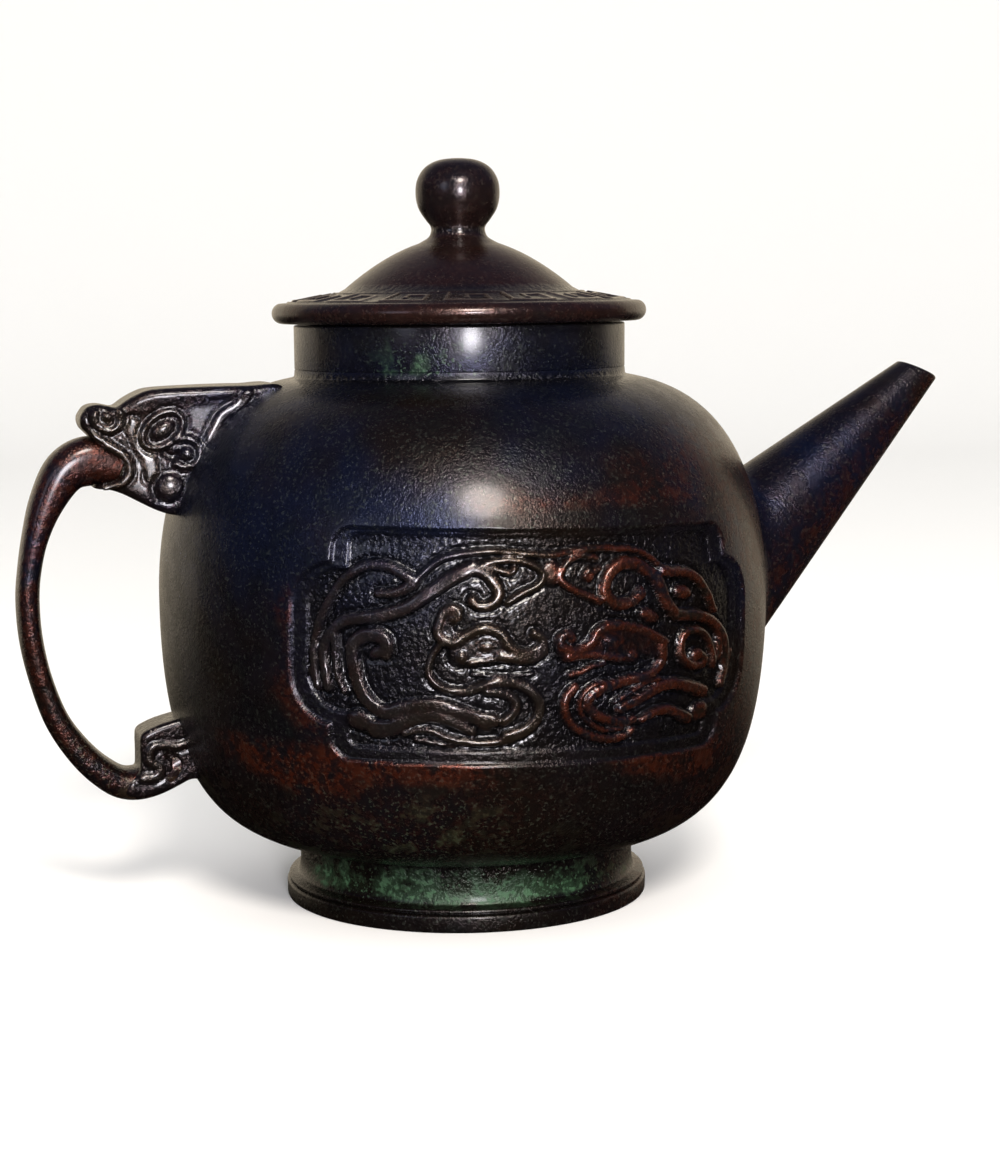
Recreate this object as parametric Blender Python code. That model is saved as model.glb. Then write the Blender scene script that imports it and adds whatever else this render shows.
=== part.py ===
"""Bronze ewer: a lidded, squarish round vessel on a foot ring, with a straight spout, a strap handle that
grows out of a beast's head, and a sunk panel with two facing dragons on each broad side.

+X is the spout, -X the handle, -Y the front panel, +Z up. The origin is on the ground below the middle
of the ewer's length. Sizes are in metres. Everything but the lid is one casting, parted here where the
handle and the spout grow out of the vessel, so that each can have a hull of its own.
"""
from math import atan2, cos, hypot, pi, radians, sin, tan

import bmesh
import bpy
import numpy as np
from mathutils import Vector
from mathutils.geometry import delaunay_2d_cdt

for old in list(bpy.data.objects):
    bpy.data.objects.remove(old, do_unlink=True)

# Vessel: radii and levels of the turned shape
BODY_RADIUS = 0.0688
BODY_WIDEST_Z = 0.0707
SHOULDER_RISE = 0.0489
BELLY_DROP = 0.0572
SHOULDER_SQUARENESS = 4.83
SHOULDER_BEND = 2.0
BELLY_SQUARENESS = 5.76
BELLY_BEND = 2.44
WALL = 0.003
NECK_RADIUS = 0.0372
NECK_HEIGHT = 0.0117
LIP_ROUND = 0.0006
JOINT_GAP = 0.0003

# Foot ring, from the ground up
FOOT_RADIUS = 0.0413
FOOT_NECK_RADIUS = 0.0382
FOOT_RING_WALL = 0.0048
FOOT_BAND = 0.0038
FOOT_GROOVE = 0.0007
FOOT_FLARE = 0.0042
FOOT_EDGE = 0.0004

# Lid, measured from the underside of its flange
LID_GAP = 0.0003
LID_RADIUS = 0.0421
LID_RIM = 0.0045
LID_BAND_RISE = 0.0024
LID_DOME_RADIUS = 0.0262
LID_DOME_RISE = 0.0120
LID_DOME_BEND = 1.9
LID_WALL = 0.0025
LID_COLLAR_DEPTH = 0.0055
LID_COLLAR_CLEARANCE = 0.0005
KNOB_RADIUS = 0.0094
KNOB_HALF_HEIGHT = 0.0082
KNOB_SQUARENESS = 2.6
KNOB_STEM_RADIUS = 0.0060
KNOB_STEM = 0.0029
KNOB_RINGS = 6
DOME_RINGS = 4
FRET_UNITS = 16
FRET_MARGIN = 0.14
FRET_STROKE = 0.0011
FRET_HEIGHT = 0.0005

# One hook of the fret, in shares of its length along the flange and of the band's width
FRET_HOOK = [(0.0, 0.0), (0.0, 1.0), (0.72, 1.0), (0.72, 0.3), (0.33, 0.3), (0.33, 0.62)]

# Spout: a straight cone, cut aslant at the tip
SPOUT_REACH = 0.1180
SPOUT_TIP_Z = 0.1151
SPOUT_SLOPE = radians(41.6)
SPOUT_TAPER = radians(10.4)
SPOUT_TIP_RADIUS = 0.0045
SPOUT_TIP_CUT = radians(64.2)
SPOUT_WALL = 0.0018
SPOUT_ROOT = 0.0260

# Handle: reach of its outermost point, and the section of the strap
HANDLE_REACH = 0.1006
HANDLE_WIDTH = 0.0112
HANDLE_THICKNESS = 0.0050
HEAD_MUZZLE_WIDTH = 0.0118
HEAD_ROOT_WIDTH = 0.0164
HEAD_EDGE = 0.0011
HOOK_WIDTH = 0.0118
MOUTH_GROOVE = 0.0010
MOUTH_GROOVE_WIDTH = 0.0014

# Panels: two sunk steps with a carved ground
PANEL_WIDTH = 0.115
PANEL_HEIGHT = 0.048
PANEL_Z = 0.0653
PANEL_TILT = radians(-1.5)
PANEL_FRAME_SIDE = 0.0046
PANEL_FRAME_EDGE = 0.0022
PANEL_FRAME_DEPTH = 0.0006
PANEL_DEPTH = 0.0016
PANEL_TALL_SHARE = 0.815
PANEL_WIDE_SHARE = 0.70
CORNER_TALL = 0.0045
CORNER_WIDE = 0.0110
RELIEF_HEIGHT = 0.0014

# Facets
VESSEL_SIDES = 36
BELLY_RINGS = 7
SHOULDER_RINGS = 7
HOLLOW_RINGS = 4
LID_SIDES = 32
HOLLOW_SIDES = 24
SPOUT_SIDES = 18
RIBBON_TURN = radians(42)
RIBBON_STEP = 0.0085
RIBBON_END = 0.55
BOSS_SIDES = 7
OUTLINE_STEP = 0.010
FORM_SIDES = 8
LAYOUT_MERGE = 0.00002
SAME_POINT = 0.000001

# Worked out from the above
AXIS_X = (HANDLE_REACH - SPOUT_REACH) / 2
MM = 0.001

# The carving was laid out in millimetres on a panel of 115 by 48, and is scaled to the real one
CARVING_SCALE = np.array([PANEL_WIDTH / 115, PANEL_HEIGHT / 48])


def body_radius(z, inset=0.0):
    """Radius of the turned body at a level, with the surface moved in by an inset."""
    radius = BODY_RADIUS - inset
    if z >= BODY_WIDEST_Z:
        share = min((z - BODY_WIDEST_Z) / (SHOULDER_RISE - inset), 1.0)
        return radius * (1 - share ** SHOULDER_BEND) ** (1 / SHOULDER_SQUARENESS)
    share = min((BODY_WIDEST_Z - z) / (BELLY_DROP - inset), 1.0)
    return radius * (1 - share ** BELLY_BEND) ** (1 / BELLY_SQUARENESS)


def shoulder_level(radius, inset=0.0):
    """Level at which the shoulder has narrowed to a radius."""
    share = (radius / (BODY_RADIUS - inset)) ** SHOULDER_SQUARENESS
    return BODY_WIDEST_Z + (SHOULDER_RISE - inset) * (1 - share) ** (1 / SHOULDER_BEND)


def belly_level(radius, inset=0.0):
    """Level at which the belly has narrowed to a radius."""
    share = (radius / (BODY_RADIUS - inset)) ** BELLY_SQUARENESS
    return BODY_WIDEST_Z - (BELLY_DROP - inset) * (1 - share) ** (1 / BELLY_BEND)


def body_curve(low_radius, high_radius, low_steps, high_steps, inset=0.0):
    """Points (radius, z) up the body's side, close together where it bends."""
    low_share = (BODY_WIDEST_Z - belly_level(low_radius, inset)) / (BELLY_DROP - inset)
    high_share = (shoulder_level(high_radius, inset) - BODY_WIDEST_Z) / (SHOULDER_RISE - inset)
    points = []
    for turn in np.linspace(np.arcsin(low_share ** (BELLY_BEND / 2)), 0, low_steps, endpoint=False):
        points.append(((BODY_RADIUS - inset) * cos(turn) ** (2 / BELLY_SQUARENESS),
                       BODY_WIDEST_Z - (BELLY_DROP - inset) * sin(turn) ** (2 / BELLY_BEND)))
    for turn in np.linspace(0, np.arcsin(high_share ** (SHOULDER_BEND / 2)), high_steps + 1):
        points.append(((BODY_RADIUS - inset) * cos(turn) ** (2 / SHOULDER_SQUARENESS),
                       BODY_WIDEST_Z + (SHOULDER_RISE - inset) * sin(turn) ** (2 / SHOULDER_BEND)))
    return points


NECK_FOOT_Z = shoulder_level(NECK_RADIUS)
NECK_TOP_Z = NECK_FOOT_Z + NECK_HEIGHT
LID_Z = NECK_TOP_Z + LID_GAP
FOOT_TOP_Z = belly_level(FOOT_NECK_RADIUS)


def mesh_object(name, verts, faces):
    """A new object whose faces point outwards."""
    mesh = bpy.data.meshes.new(name)
    mesh.from_pydata([tuple(map(float, v)) for v in verts], [], faces)
    work = bmesh.new()
    work.from_mesh(mesh)
    bmesh.ops.remove_doubles(work, verts=work.verts, dist=SAME_POINT)
    loose = [vert for vert in work.verts if not vert.link_faces]
    bmesh.ops.delete(work, geom=loose, context="VERTS")
    bmesh.ops.recalc_face_normals(work, faces=work.faces)
    work.to_mesh(mesh)
    work.free()
    item = bpy.data.objects.new(name, mesh)
    bpy.context.scene.collection.objects.link(item)
    return item


def turned(name, profile, sides, sheet=None, sheet_rings=None):
    """A closed solid of revolution about the vessel's axis; the profile starts and ends on the axis.

    A sheet of (verts, faces) may stand in for the stretch between two rings of the profile.
    """
    verts = [(AXIS_X, 0, profile[0][1])]
    for radius, z in profile[1:-1]:
        for turn in column_turns(sides)[:-1]:
            verts.append((AXIS_X + radius * sin(turn), -radius * cos(turn), z))
    verts.append((AXIS_X, 0, profile[-1][1]))
    rings = len(profile) - 2
    last = 1 + (rings - 1) * sides
    faces = []
    for k in range(sides):
        k2 = (k + 1) % sides
        faces.append((0, 1 + k2, 1 + k))
        faces.append((last + k, last + k2, len(verts) - 1))
        for ring in range(rings - 1):
            if sheet and sheet_rings[0] <= ring + 1 < sheet_rings[1]:
                continue
            low = 1 + ring * sides
            faces.append((low + k, low + k2, low + sides + k2, low + sides + k))
    if sheet:
        faces += [tuple(index + len(verts) for index in face) for face in sheet[1]]
        verts += sheet[0]
    return mesh_object(name, verts, faces)


def column_turns(sides):
    """Angles of the facets' edges round the axis, from -Y towards +X; the seam lies at the handle."""
    return [-pi / 2 + 2 * pi * (k + 0.5) / sides for k in range(sides + 1)]


def lofted(name, rings):
    """A closed solid through rings of equally many points, with a flat face at each end."""
    count = len(rings[0])
    verts = [point for ring in rings for point in ring]
    faces = [tuple(range(count)), tuple(reversed(range(len(verts) - count, len(verts))))]
    for ring in range(len(rings) - 1):
        low = ring * count
        for k in range(count):
            k2 = (k + 1) % count
            faces.append((low + k, low + k2, low + count + k2, low + count + k))
    return mesh_object(name, verts, faces)


def smooth_path(points, steps=6):
    """A Catmull-Rom curve through points of any dimension."""
    points = np.array(points, float)
    ends = np.vstack([2 * points[0] - points[1], points, 2 * points[-1] - points[-2]])
    out = []
    for a, b, c, d in zip(ends[:-3], ends[1:-2], ends[2:-1], ends[3:]):
        for t in np.linspace(0, 1, steps, endpoint=False):
            out.append(0.5 * (2 * b + (c - a) * t + (2 * a - 5 * b + 4 * c - d) * t ** 2
                              + (3 * b - a - 3 * c + d) * t ** 3))
    out.append(points[-1])
    return np.array(out)


def thinned(path):
    """Keeps a point of a flat path wherever it has turned, or run on, far enough."""
    keep, turned_by, run = [path[0]], 0.0, 0.0
    for before, here, after in zip(path[:-2], path[1:-1], path[2:]):
        step_in, step_out = here - before, after - here
        turn = atan2(step_in[0] * step_out[1] - step_in[1] * step_out[0], float(step_in @ step_out))
        turned_by += turn
        run += hypot(*step_in)
        if abs(turned_by) > RIBBON_TURN or run > RIBBON_STEP:
            keep.append(here)
            turned_by, run = 0.0, 0.0
    keep.append(path[-1])
    return np.array(keep)


def cartouche(width, height):
    """Outline (u, v) of a panel: a tall and a wide rounded rectangle laid over each other, which leaves a
    notch in each corner."""
    tall = width * PANEL_TALL_SHARE / 2
    wide_top = height * PANEL_WIDE_SHARE / 2
    quarter = []
    for turn in np.linspace(0, pi / 2, 5):
        quarter.append((width / 2 - CORNER_WIDE * (1 - cos(turn)), wide_top - CORNER_WIDE * (1 - sin(turn))))
    quarter.append((tall, wide_top))
    for turn in np.linspace(0, pi / 2, 4):
        quarter.append((tall - CORNER_TALL * (1 - cos(turn)), height / 2 - CORNER_TALL * (1 - sin(turn))))
    upper = quarter + [(-u, v) for u, v in reversed(quarter)]
    return np.array(upper + [(-u, -v) for u, v in upper])


def ribbon(points, width, mirrored):
    """Quads (u, v) along a smooth band; the band narrows at both ends."""
    path = thinned(smooth_path(np.array(points) * CARVING_SCALE))
    if mirrored:
        path = path * np.array([-1.0, 1.0])
    run = np.gradient(path, axis=0)
    run /= np.linalg.norm(run, axis=1)[:, None]
    half = np.full(len(path), width / 2 * CARVING_SCALE[1])
    half[[0, -1]] *= RIBBON_END
    side = np.stack([-run[:, 1], run[:, 0]], axis=1) * half[:, None]
    left, right = path + side, path - side
    return [np.array([a, b, c, d]) for a, b, c, d in zip(left[:-1], left[1:], right[1:], right[:-1])]


def boss(centre, size, mirrored):
    """Outline (u, v) of a carved lens or ball."""
    turns = np.linspace(0, 2 * pi, BOSS_SIDES, endpoint=False)
    outline = (np.array(centre) + np.stack([np.cos(turns) * size[0], np.sin(turns) * size[1]], axis=1))
    return [outline * CARVING_SCALE * np.array([-1.0 if mirrored else 1.0, 1.0])]


def tilted(shape):
    """Turns points of a panel by the panel's tilt and lays them on the unrolled body: (along, z)."""
    u, v = np.asarray(shape).T
    along = u * cos(PANEL_TILT) - v * sin(PANEL_TILT)
    return np.stack([along, PANEL_Z + u * sin(PANEL_TILT) + v * cos(PANEL_TILT)], axis=1)


def inside(points, outline):
    """Which points lie inside a closed outline, by counting crossings."""
    x, y = points.T
    result = np.zeros(len(points), bool)
    for (x1, y1), (x2, y2) in zip(outline, np.roll(outline, -1, axis=0)):
        if y1 != y2:
            crosses = ((y1 > y) != (y2 > y)) & (x < (x2 - x1) * (y - y1) / (y2 - y1) + x1)
            result ^= crosses
    return result


def split_outline(outline):
    """The outline with no side longer than a facet, so that it bends with the surface."""
    points = []
    for start, end in zip(outline, np.roll(outline, -1, axis=0)):
        parts = int(np.ceil(hypot(*(end - start)) / OUTLINE_STEP))
        points += [start + (end - start) * k / parts for k in range(parts)]
    return points


def stepped_sheet(grid, steps, place):
    """A sheet over a flat layout, sunk or raised in steps with square walls between them.

    grid is the sheet's own points; each step is (shapes, depth), and later steps lie over earlier ones;
    place turns (x, y, depth) into a point in space. Gives vertices and faces.
    """
    flat, edges = list(map(tuple, grid)), []
    for shapes, depth in steps:
        for shape in shapes:
            shape = split_outline(shape)
            first = len(flat)
            flat += list(map(tuple, shape))
            edges += [(first + k, first + (k + 1) % len(shape)) for k in range(len(shape))]
    found = delaunay_2d_cdt([Vector(p) for p in flat], edges, [], 0, LAYOUT_MERGE)
    points, triangles = np.array([tuple(p) for p in found[0]]), np.array(found[2])
    middles = points[triangles].mean(axis=1)
    depths = np.zeros(len(triangles))
    for shapes, depth in steps:
        covered = np.zeros(len(triangles), bool)
        for shape in shapes:
            covered |= inside(middles, shape)
        depths[covered] = depth

    verts, numbers, at_point = [], {}, {}

    def vertex(point, depth):
        if (point, depth) not in numbers:
            numbers[point, depth] = len(verts)
            verts.append(place(*points[point], depth))
            at_point.setdefault(point, set()).add(depth)
        return numbers[point, depth]

    faces, beside = [], {}
    for triangle, depth in zip(triangles.tolist(), depths.tolist()):
        faces.append(tuple(vertex(point, depth) for point in triangle))
        for a, b in zip(triangle, triangle[1:] + triangle[:1]):
            beside[a, b] = depth
    for (a, b), depth in beside.items():
        other = beside.get((b, a), depth)
        if depth < other:
            down_a = sorted(d for d in at_point[a] if depth <= d <= other)
            up_b = sorted((d for d in at_point[b] if depth <= d <= other), reverse=True)
            faces.append(tuple([vertex(a, d) for d in down_a] + [vertex(b, d) for d in up_b]))
    return verts, faces


# One dragon, facing right, in millimetres from the panel's middle. Each band has its points and its width.
# The bands marked True are the ones that the plainer back also has.
DRAGON_BANDS = {
    "snout": ([(-17, -1.8), (-12, -1.9), (-6.5, -1.3), (-3.0, -0.8), (-1.8, 1.0), (-3.3, 2.5)], 2.1, True),
    "brow": ([(-9, -0.4), (-10.3, 2.6), (-14, 4.0), (-18, 2.8), (-21.5, 2.5), (-24.2, 4.6), (-22.6, 7.2),
              (-20.6, 6.0)], 1.8, False),
    "neck": ([(-18.5, 1.2), (-24.6, 0.2), (-25.9, -3.8), (-22.8, -7.3), (-17, -8.2), (-11, -6.9),
              (-5.2, -7.8), (-2.6, -11.6), (-4.4, -15.9), (-9.5, -17.3)], 2.0, True),
    "breast": ([(-14, -9.2), (-8.6, -9.4), (-6.5, -12.0), (-9.2, -14.6)], 1.5, False),
    "back": ([(-9.5, -15.4), (-12.5, -14.2), (-17.5, -11.7), (-24, -10.7), (-31, -12.2), (-36.5, -12.6),
              (-41, -8.6), (-43, -2.4), (-40.2, 2.4), (-35.4, 2.4), (-34.3, -1.4), (-37.6, -2.6)], 2.2, True),
    "leg": ([(-9, -17.2), (-14, -16.6), (-18.5, -15.0), (-24, -14.1), (-29, -15.4), (-35, -17.3),
             (-40.5, -16.3)], 2.2, True),
    "belly line": ([(-31, -17.9), (-25, -17.3), (-19, -18.7), (-12, -19.4), (-6.5, -18.3)], 0.9, False),
    "outer mane": ([(-49.8, -9), (-50.6, -3), (-49.4, 4), (-45.8, 11.2), (-39.5, 15.8), (-33.5, 15.2),
                    (-29.8, 12.9)], 1.9, True),
    "mane leaf": ([(-29.8, 12.9), (-33.5, 11.7), (-37, 10.7)], 1.4, False),
    "inner mane": ([(-47.2, -9), (-48, -3), (-45.9, 3.4), (-39, 6.3), (-31.5, 8.0), (-24, 13.2),
                    (-17, 16.7), (-12, 17.0)], 2.3, True),
    "mane tuft": ([(-44.4, -9.5), (-45.9, -5), (-45.4, -0.5)], 1.3, False),
    "crest": ([(-28.6, 13.7), (-24.5, 16.4), (-18, 19.0), (-9, 20.0), (0, 19.3)], 1.1, False),
    "knot curl": ([(-16, 17.0), (-12.4, 15.0), (-11.6, 11.6), (-14.0, 9.2), (-17.2, 9.8)], 1.8, False),
    "knot leaf": ([(-12, 17.3), (-7.2, 17.9), (-2.8, 16.2), (-4.2, 12.6), (-10.2, 9.8)], 1.7, False),
}
DRAGON_BOSSES = {
    "eye": ((-13.6, 0.7), (2.7, 1.1), False),
    "cheek": ((-19.3, -1.9), (1.6, 1.5), True),
    "curl ball": ((-17.0, 9.9), (1.6, 1.5), False),
    "leg lobe": ((-41.0, -15.8), (2.9, 2.3), True),
    "tail lobe": ((-37.2, -2.4), (2.3, 1.4), False),
}
KNOT = [(-3.4, 15.4), (0, 14.9), (3.4, 15.4)]
KNOT_WIDTH = 3.6


def add_boolean(target, operation, tool):
    """Adds a Boolean with one object, or with every object of a collection."""
    step = target.modifiers.new(operation.lower(), "BOOLEAN")
    step.operation = operation
    step.solver = "EXACT"
    if isinstance(tool, bpy.types.Collection):
        step.operand_type = "COLLECTION"
        step.collection = tool
    else:
        step.object = tool


def as_tools(name, items):
    """Collects the solids that only shape another one, and hides them."""
    tools = bpy.data.collections.new(name)
    bpy.context.scene.collection.children.link(tools)
    for item in items:
        for home in list(item.users_collection):
            home.objects.unlink(item)
        tools.objects.link(item)
        item.hide_render = True
        item.display_type = "WIRE"
    return tools


def bronze(name, colour, roughness):
    """Patinated cast bronze."""
    material = bpy.data.materials.new(name)
    material.use_nodes = True
    shader = material.node_tree.nodes["Principled BSDF"]
    shader.inputs["Base Color"].default_value = (*colour, 1)
    shader.inputs["Metallic"].default_value = 0.85
    shader.inputs["Roughness"].default_value = roughness
    return material


# Vessel with its foot and its carved panels, solid for now
def vessel():
    lip = FOOT_RADIUS - FOOT_EDGE
    base = FOOT_BAND + FOOT_GROOVE
    profile = [(0, 0), (lip, 0), (FOOT_RADIUS, FOOT_EDGE), (FOOT_RADIUS, FOOT_BAND - FOOT_EDGE),
               (FOOT_RADIUS - FOOT_GROOVE, FOOT_BAND + FOOT_GROOVE / 2)]
    for turn in np.linspace(0, pi / 2, 4):
        profile.append((lip - (lip - FOOT_NECK_RADIUS) * sin(turn), base + FOOT_FLARE * (1 - cos(turn))))
    profile += body_curve(FOOT_NECK_RADIUS, NECK_RADIUS, BELLY_RINGS, SHOULDER_RINGS)
    profile += [(NECK_RADIUS, NECK_TOP_Z - LIP_ROUND), (NECK_RADIUS - LIP_ROUND, NECK_TOP_Z), (0, NECK_TOP_Z)]

    reach = PANEL_HEIGHT / 2 + PANEL_WIDTH / 2 * abs(sin(PANEL_TILT))
    low = max(k for k, (radius, z) in enumerate(profile) if z < PANEL_Z - reach)
    high = min(k for k, (radius, z) in enumerate(profile) if z > PANEL_Z + reach)
    grid = [(turn * BODY_RADIUS, profile[k][1]) for k in range(low, high + 1)
            for turn in column_turns(VESSEL_SIDES)]

    def on_body(along, z, depth):
        radius = body_radius(z) - depth
        turn = along / BODY_RADIUS
        return AXIS_X + radius * sin(turn), -radius * cos(turn), z

    sheet = stepped_sheet(grid, panel_steps(), on_body)
    return turned("ewer_body", profile, VESSEL_SIDES, sheet, (low, high))


def panel_steps():
    """Both panels as steps of the unrolled body: the frame's ledge, the ground, and the relief on it."""
    frame = cartouche(PANEL_WIDTH, PANEL_HEIGHT)
    ground = cartouche(PANEL_WIDTH - 2 * PANEL_FRAME_SIDE, PANEL_HEIGHT - 2 * PANEL_FRAME_EDGE)
    steps = []
    for shapes_of, depth in ((lambda back: [frame], PANEL_FRAME_DEPTH), (lambda back: [ground], PANEL_DEPTH),
                             (relief, PANEL_DEPTH - RELIEF_HEIGHT)):
        front = [tilted(shape) for shape in shapes_of(False)]
        rear = [tilted(shape) + np.array([pi * BODY_RADIUS, 0]) for shape in shapes_of(True)]
        steps.append((front + rear, depth))
    return steps


def relief(back):
    """The two facing dragons and the knot between their crests; the back has only the main bands."""
    shapes = ribbon(KNOT, KNOT_WIDTH, False)
    for mirrored in (False, True):
        for points, width, on_back in DRAGON_BANDS.values():
            if on_back or not back:
                shapes += ribbon(points, width, mirrored)
        for centre, size, on_back in DRAGON_BOSSES.values():
            if on_back or not back:
                shapes += boss(centre, size, mirrored)
    return shapes


def cavity():
    """The space inside: the body's curve moved in by the wall, and the neck's bore up through the rim."""
    floor_radius = FOOT_NECK_RADIUS - WALL
    profile = [(0, belly_level(floor_radius, WALL))]
    profile += body_curve(floor_radius, NECK_RADIUS - WALL, HOLLOW_RINGS, HOLLOW_RINGS, WALL)
    profile += [(NECK_RADIUS - WALL, NECK_TOP_Z + WALL), (0, NECK_TOP_Z + WALL)]
    return turned("cavity", profile, HOLLOW_SIDES)


def seat():
    """The vessel's curve moved out by the joints' gap, which the handle and the spout are cut to."""
    curve = body_curve(FOOT_NECK_RADIUS, NECK_RADIUS, BELLY_RINGS, SHOULDER_RINGS, -JOINT_GAP)
    return turned("seat", [(0, curve[0][1])] + curve + [(0, curve[-1][1])], VESSEL_SIDES)


def foot_hollow():
    """The space under the body, inside the foot ring."""
    bore = FOOT_RADIUS - FOOT_RING_WALL
    ceiling = belly_level(FOOT_NECK_RADIUS) - FOOT_EDGE
    profile = [(0, -WALL), (bore, -WALL), (bore, ceiling - WALL / 2), (bore - WALL / 2, ceiling),
               (0, ceiling)]
    return turned("foot_hollow", profile, HOLLOW_SIDES)


# Spout
def spout_frame():
    """The cone's apex, its axis, and the plane of the slanting tip through the tip's outer corner."""
    axis = np.array([cos(SPOUT_SLOPE), 0, sin(SPOUT_SLOPE)])
    corner = np.array([AXIS_X + SPOUT_REACH, 0, SPOUT_TIP_Z])
    low_edge = SPOUT_SLOPE + SPOUT_TAPER
    along = SPOUT_TIP_RADIUS / tan(SPOUT_TAPER) / cos(SPOUT_TAPER)
    apex = corner + along * np.array([cos(low_edge), 0, sin(low_edge)])
    normal = np.array([cos(SPOUT_TIP_CUT), 0, sin(SPOUT_TIP_CUT)])
    return apex, axis, corner, normal


def cone_ring(apex, axis, back, radius, sides=SPOUT_SIDES):
    """Ring about the spout's axis, a distance back from the apex."""
    up = np.array([-axis[2], 0, axis[0]])
    out = np.array([0.0, 1.0, 0.0])
    turns = [2 * pi * k / sides for k in range(sides)]
    return [apex - axis * back + radius * (up * cos(t) + out * sin(t)) for t in turns]


def spout():
    """The cone, from deep in the body out to its slanting tip."""
    apex, axis, corner, normal = spout_frame()
    root = spout_root(apex, axis)
    deep, shallow = [cone_ring(apex, axis, back, back * tan(SPOUT_TAPER)) for back in (root, root / 2)]
    tip = []
    for point in shallow:
        ray = apex - point
        tip.append(point + ray * (((corner - point) @ normal) / (ray @ normal)))
    return lofted("spout", [deep, tip])


def spout_root(apex, axis):
    """Distance from the apex back to a ring of the spout that lies wholly inside the body."""
    return (apex[0] - AXIS_X - BODY_RADIUS) / axis[0] + SPOUT_ROOT


def spout_bore():
    """The cone's inside, from past the tip back into the body's hollow."""
    apex, axis, corner, normal = spout_frame()
    shrink = SPOUT_WALL / cos(SPOUT_TAPER)
    rings = []
    for back in (spout_root(apex, axis), (SPOUT_TIP_RADIUS + shrink) / 2 / tan(SPOUT_TAPER)):
        rings.append(cone_ring(apex, axis, back, back * tan(SPOUT_TAPER) - shrink))
    return lofted("spout_bore", rings)


# Handle. Points (x, z, thickness) along the strap's middle, as shares: x of the reach, z in millimetres.
STRAP = [(79.0, 100.2, 1.5), (84.0, 100.9, 1.85), (89.2, 98.6, 1.65), (93.2, 92.3, 1.45), (95.9, 85.2, 1.12),
         (97.4, 78.2, 1.0), (98.0, 71.5, 1.0), (97.5, 63.0, 1.0), (95.7, 54.0, 1.0), (92.6, 44.9, 1.08),
         (88.1, 37.8, 1.2), (83.4, 32.9, 1.3), (78.4, 30.0, 1.4), (72.5, 30.6, 1.6), (64.5, 34.6, 1.8)]
STRAP_DESIGN_REACH = 100.6

# Its section, in shares of half the width and half the thickness
STRAP_SECTION = [(-1, 0.55), (-0.72, 1), (0.72, 1), (1, 0.55),
                 (1, -0.55), (0.72, -1), (-0.72, -1), (-1, -0.55)]


def handle_x(x):
    """X of a point given in millimetres from the axis on the ewer as it was laid out."""
    return AXIS_X - x / STRAP_DESIGN_REACH * HANDLE_REACH


def strap():
    """The handle's strap, swept with a rounded oblong section."""
    path = smooth_path([(handle_x(x), z * MM, t) for x, z, t in STRAP], 2)
    run = np.gradient(path[:, :2], axis=0)
    run /= np.linalg.norm(run, axis=1)[:, None]
    rings = []
    for (x, z, thick), (dx, dz) in zip(path, run):
        half_thick = thick * HANDLE_THICKNESS / 2
        ring = []
        for across, over in STRAP_SECTION:
            reach = over * half_thick
            ring.append((x - dz * reach, across * HANDLE_WIDTH / 2, z + dx * reach))
        rings.append(ring)
    return lofted("handle", rings)


# Beast's head, side outline in millimetres from the axis, from the jaw round the muzzle to the neck
HEAD_OUTLINE = [(62.0, 87.0), (70.2, 90.6), (79.2, 94.9), (82.0, 96.4), (80.8, 99.2), (80.4, 102.2),
                (83.0, 105.0), (85.9, 108.0), (85.6, 111.4), (83.2, 113.5), (80.2, 113.9), (77.6, 112.9),
                (76.2, 114.4), (73.0, 115.9), (69.0, 116.6), (60.0, 117.0), (46.0, 116.9), (40.0, 112.0)]
HEAD_MUZZLE_X = 86.0
HEAD_ROOT_X = 58.0


def head_width(x):
    """Width of the head at a distance from the axis, growing evenly from the muzzle to the root."""
    share = min(max((HEAD_MUZZLE_X - x) / (HEAD_MUZZLE_X - HEAD_ROOT_X), 0), 1)
    return HEAD_MUZZLE_WIDTH + (HEAD_ROOT_WIDTH - HEAD_MUZZLE_WIDTH) * share


def head():
    """The head as a wedge that widens from the muzzle to the shoulder, with softened edges."""
    rings = []
    for side in (-1, 1):
        ring = []
        for x, z in HEAD_OUTLINE:
            ring.append((handle_x(x), side * head_width(x) / 2, z * MM))
        rings.append(ring)
    wedge = lofted("head", rings)
    soften = wedge.modifiers.new("softened edges", "BEVEL")
    soften.width = HEAD_EDGE
    soften.segments = 1
    soften.limit_method = "ANGLE"
    soften.angle_limit = radians(60)
    return wedge


# Raised forms on each side of the head: centre, half sizes, tilt and how far they stand out, in millimetres
HEAD_FORMS = {
    "eye rim": ((69.1, 108.1), (5.4, 3.3), radians(38), 0.7),
    "eye": ((69.1, 108.1), (3.6, 1.9), radians(38), 1.5),
    "ear": ((64.9, 102.1), (3.7, 2.7), radians(25), 1.5),
    "jowl": ((67.0, 95.6), (2.6, 2.4), 0.0, 1.6),
    "nostril": ((81.3, 110.3), (2.9, 2.7), 0.0, 1.0),
}


# Steps of such a form: share of its size, and of its height
FORM_STEPS = [(1.0, -1.0), (0.8, 0.6), (0.35, 1.0)]


def head_forms():
    items = []
    for label, ((x, z), (a, b), tilt, proud) in HEAD_FORMS.items():
        for side in (-1, 1):
            wall_y = head_width(x) / 2
            rings = []
            for share, rise in FORM_STEPS:
                y = wall_y + rise * proud * MM
                ring = []
                for k in range(FORM_SIDES):
                    turn = 2 * pi * k / FORM_SIDES
                    du, dv = a * share * cos(turn), b * share * sin(turn)
                    ring.append((handle_x(x - (du * cos(tilt) - dv * sin(tilt))), side * y,
                                 (z + du * sin(tilt) + dv * cos(tilt)) * MM))
                rings.append(ring)
            items.append(lofted(label, rings))
    return items


MOUTH_LINE = [(87.0, 108.2), (83.4, 107.0), (79.9, 104.6), (77.3, 101.8), (76.9, 99.4), (78.4, 97.9)]


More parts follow.
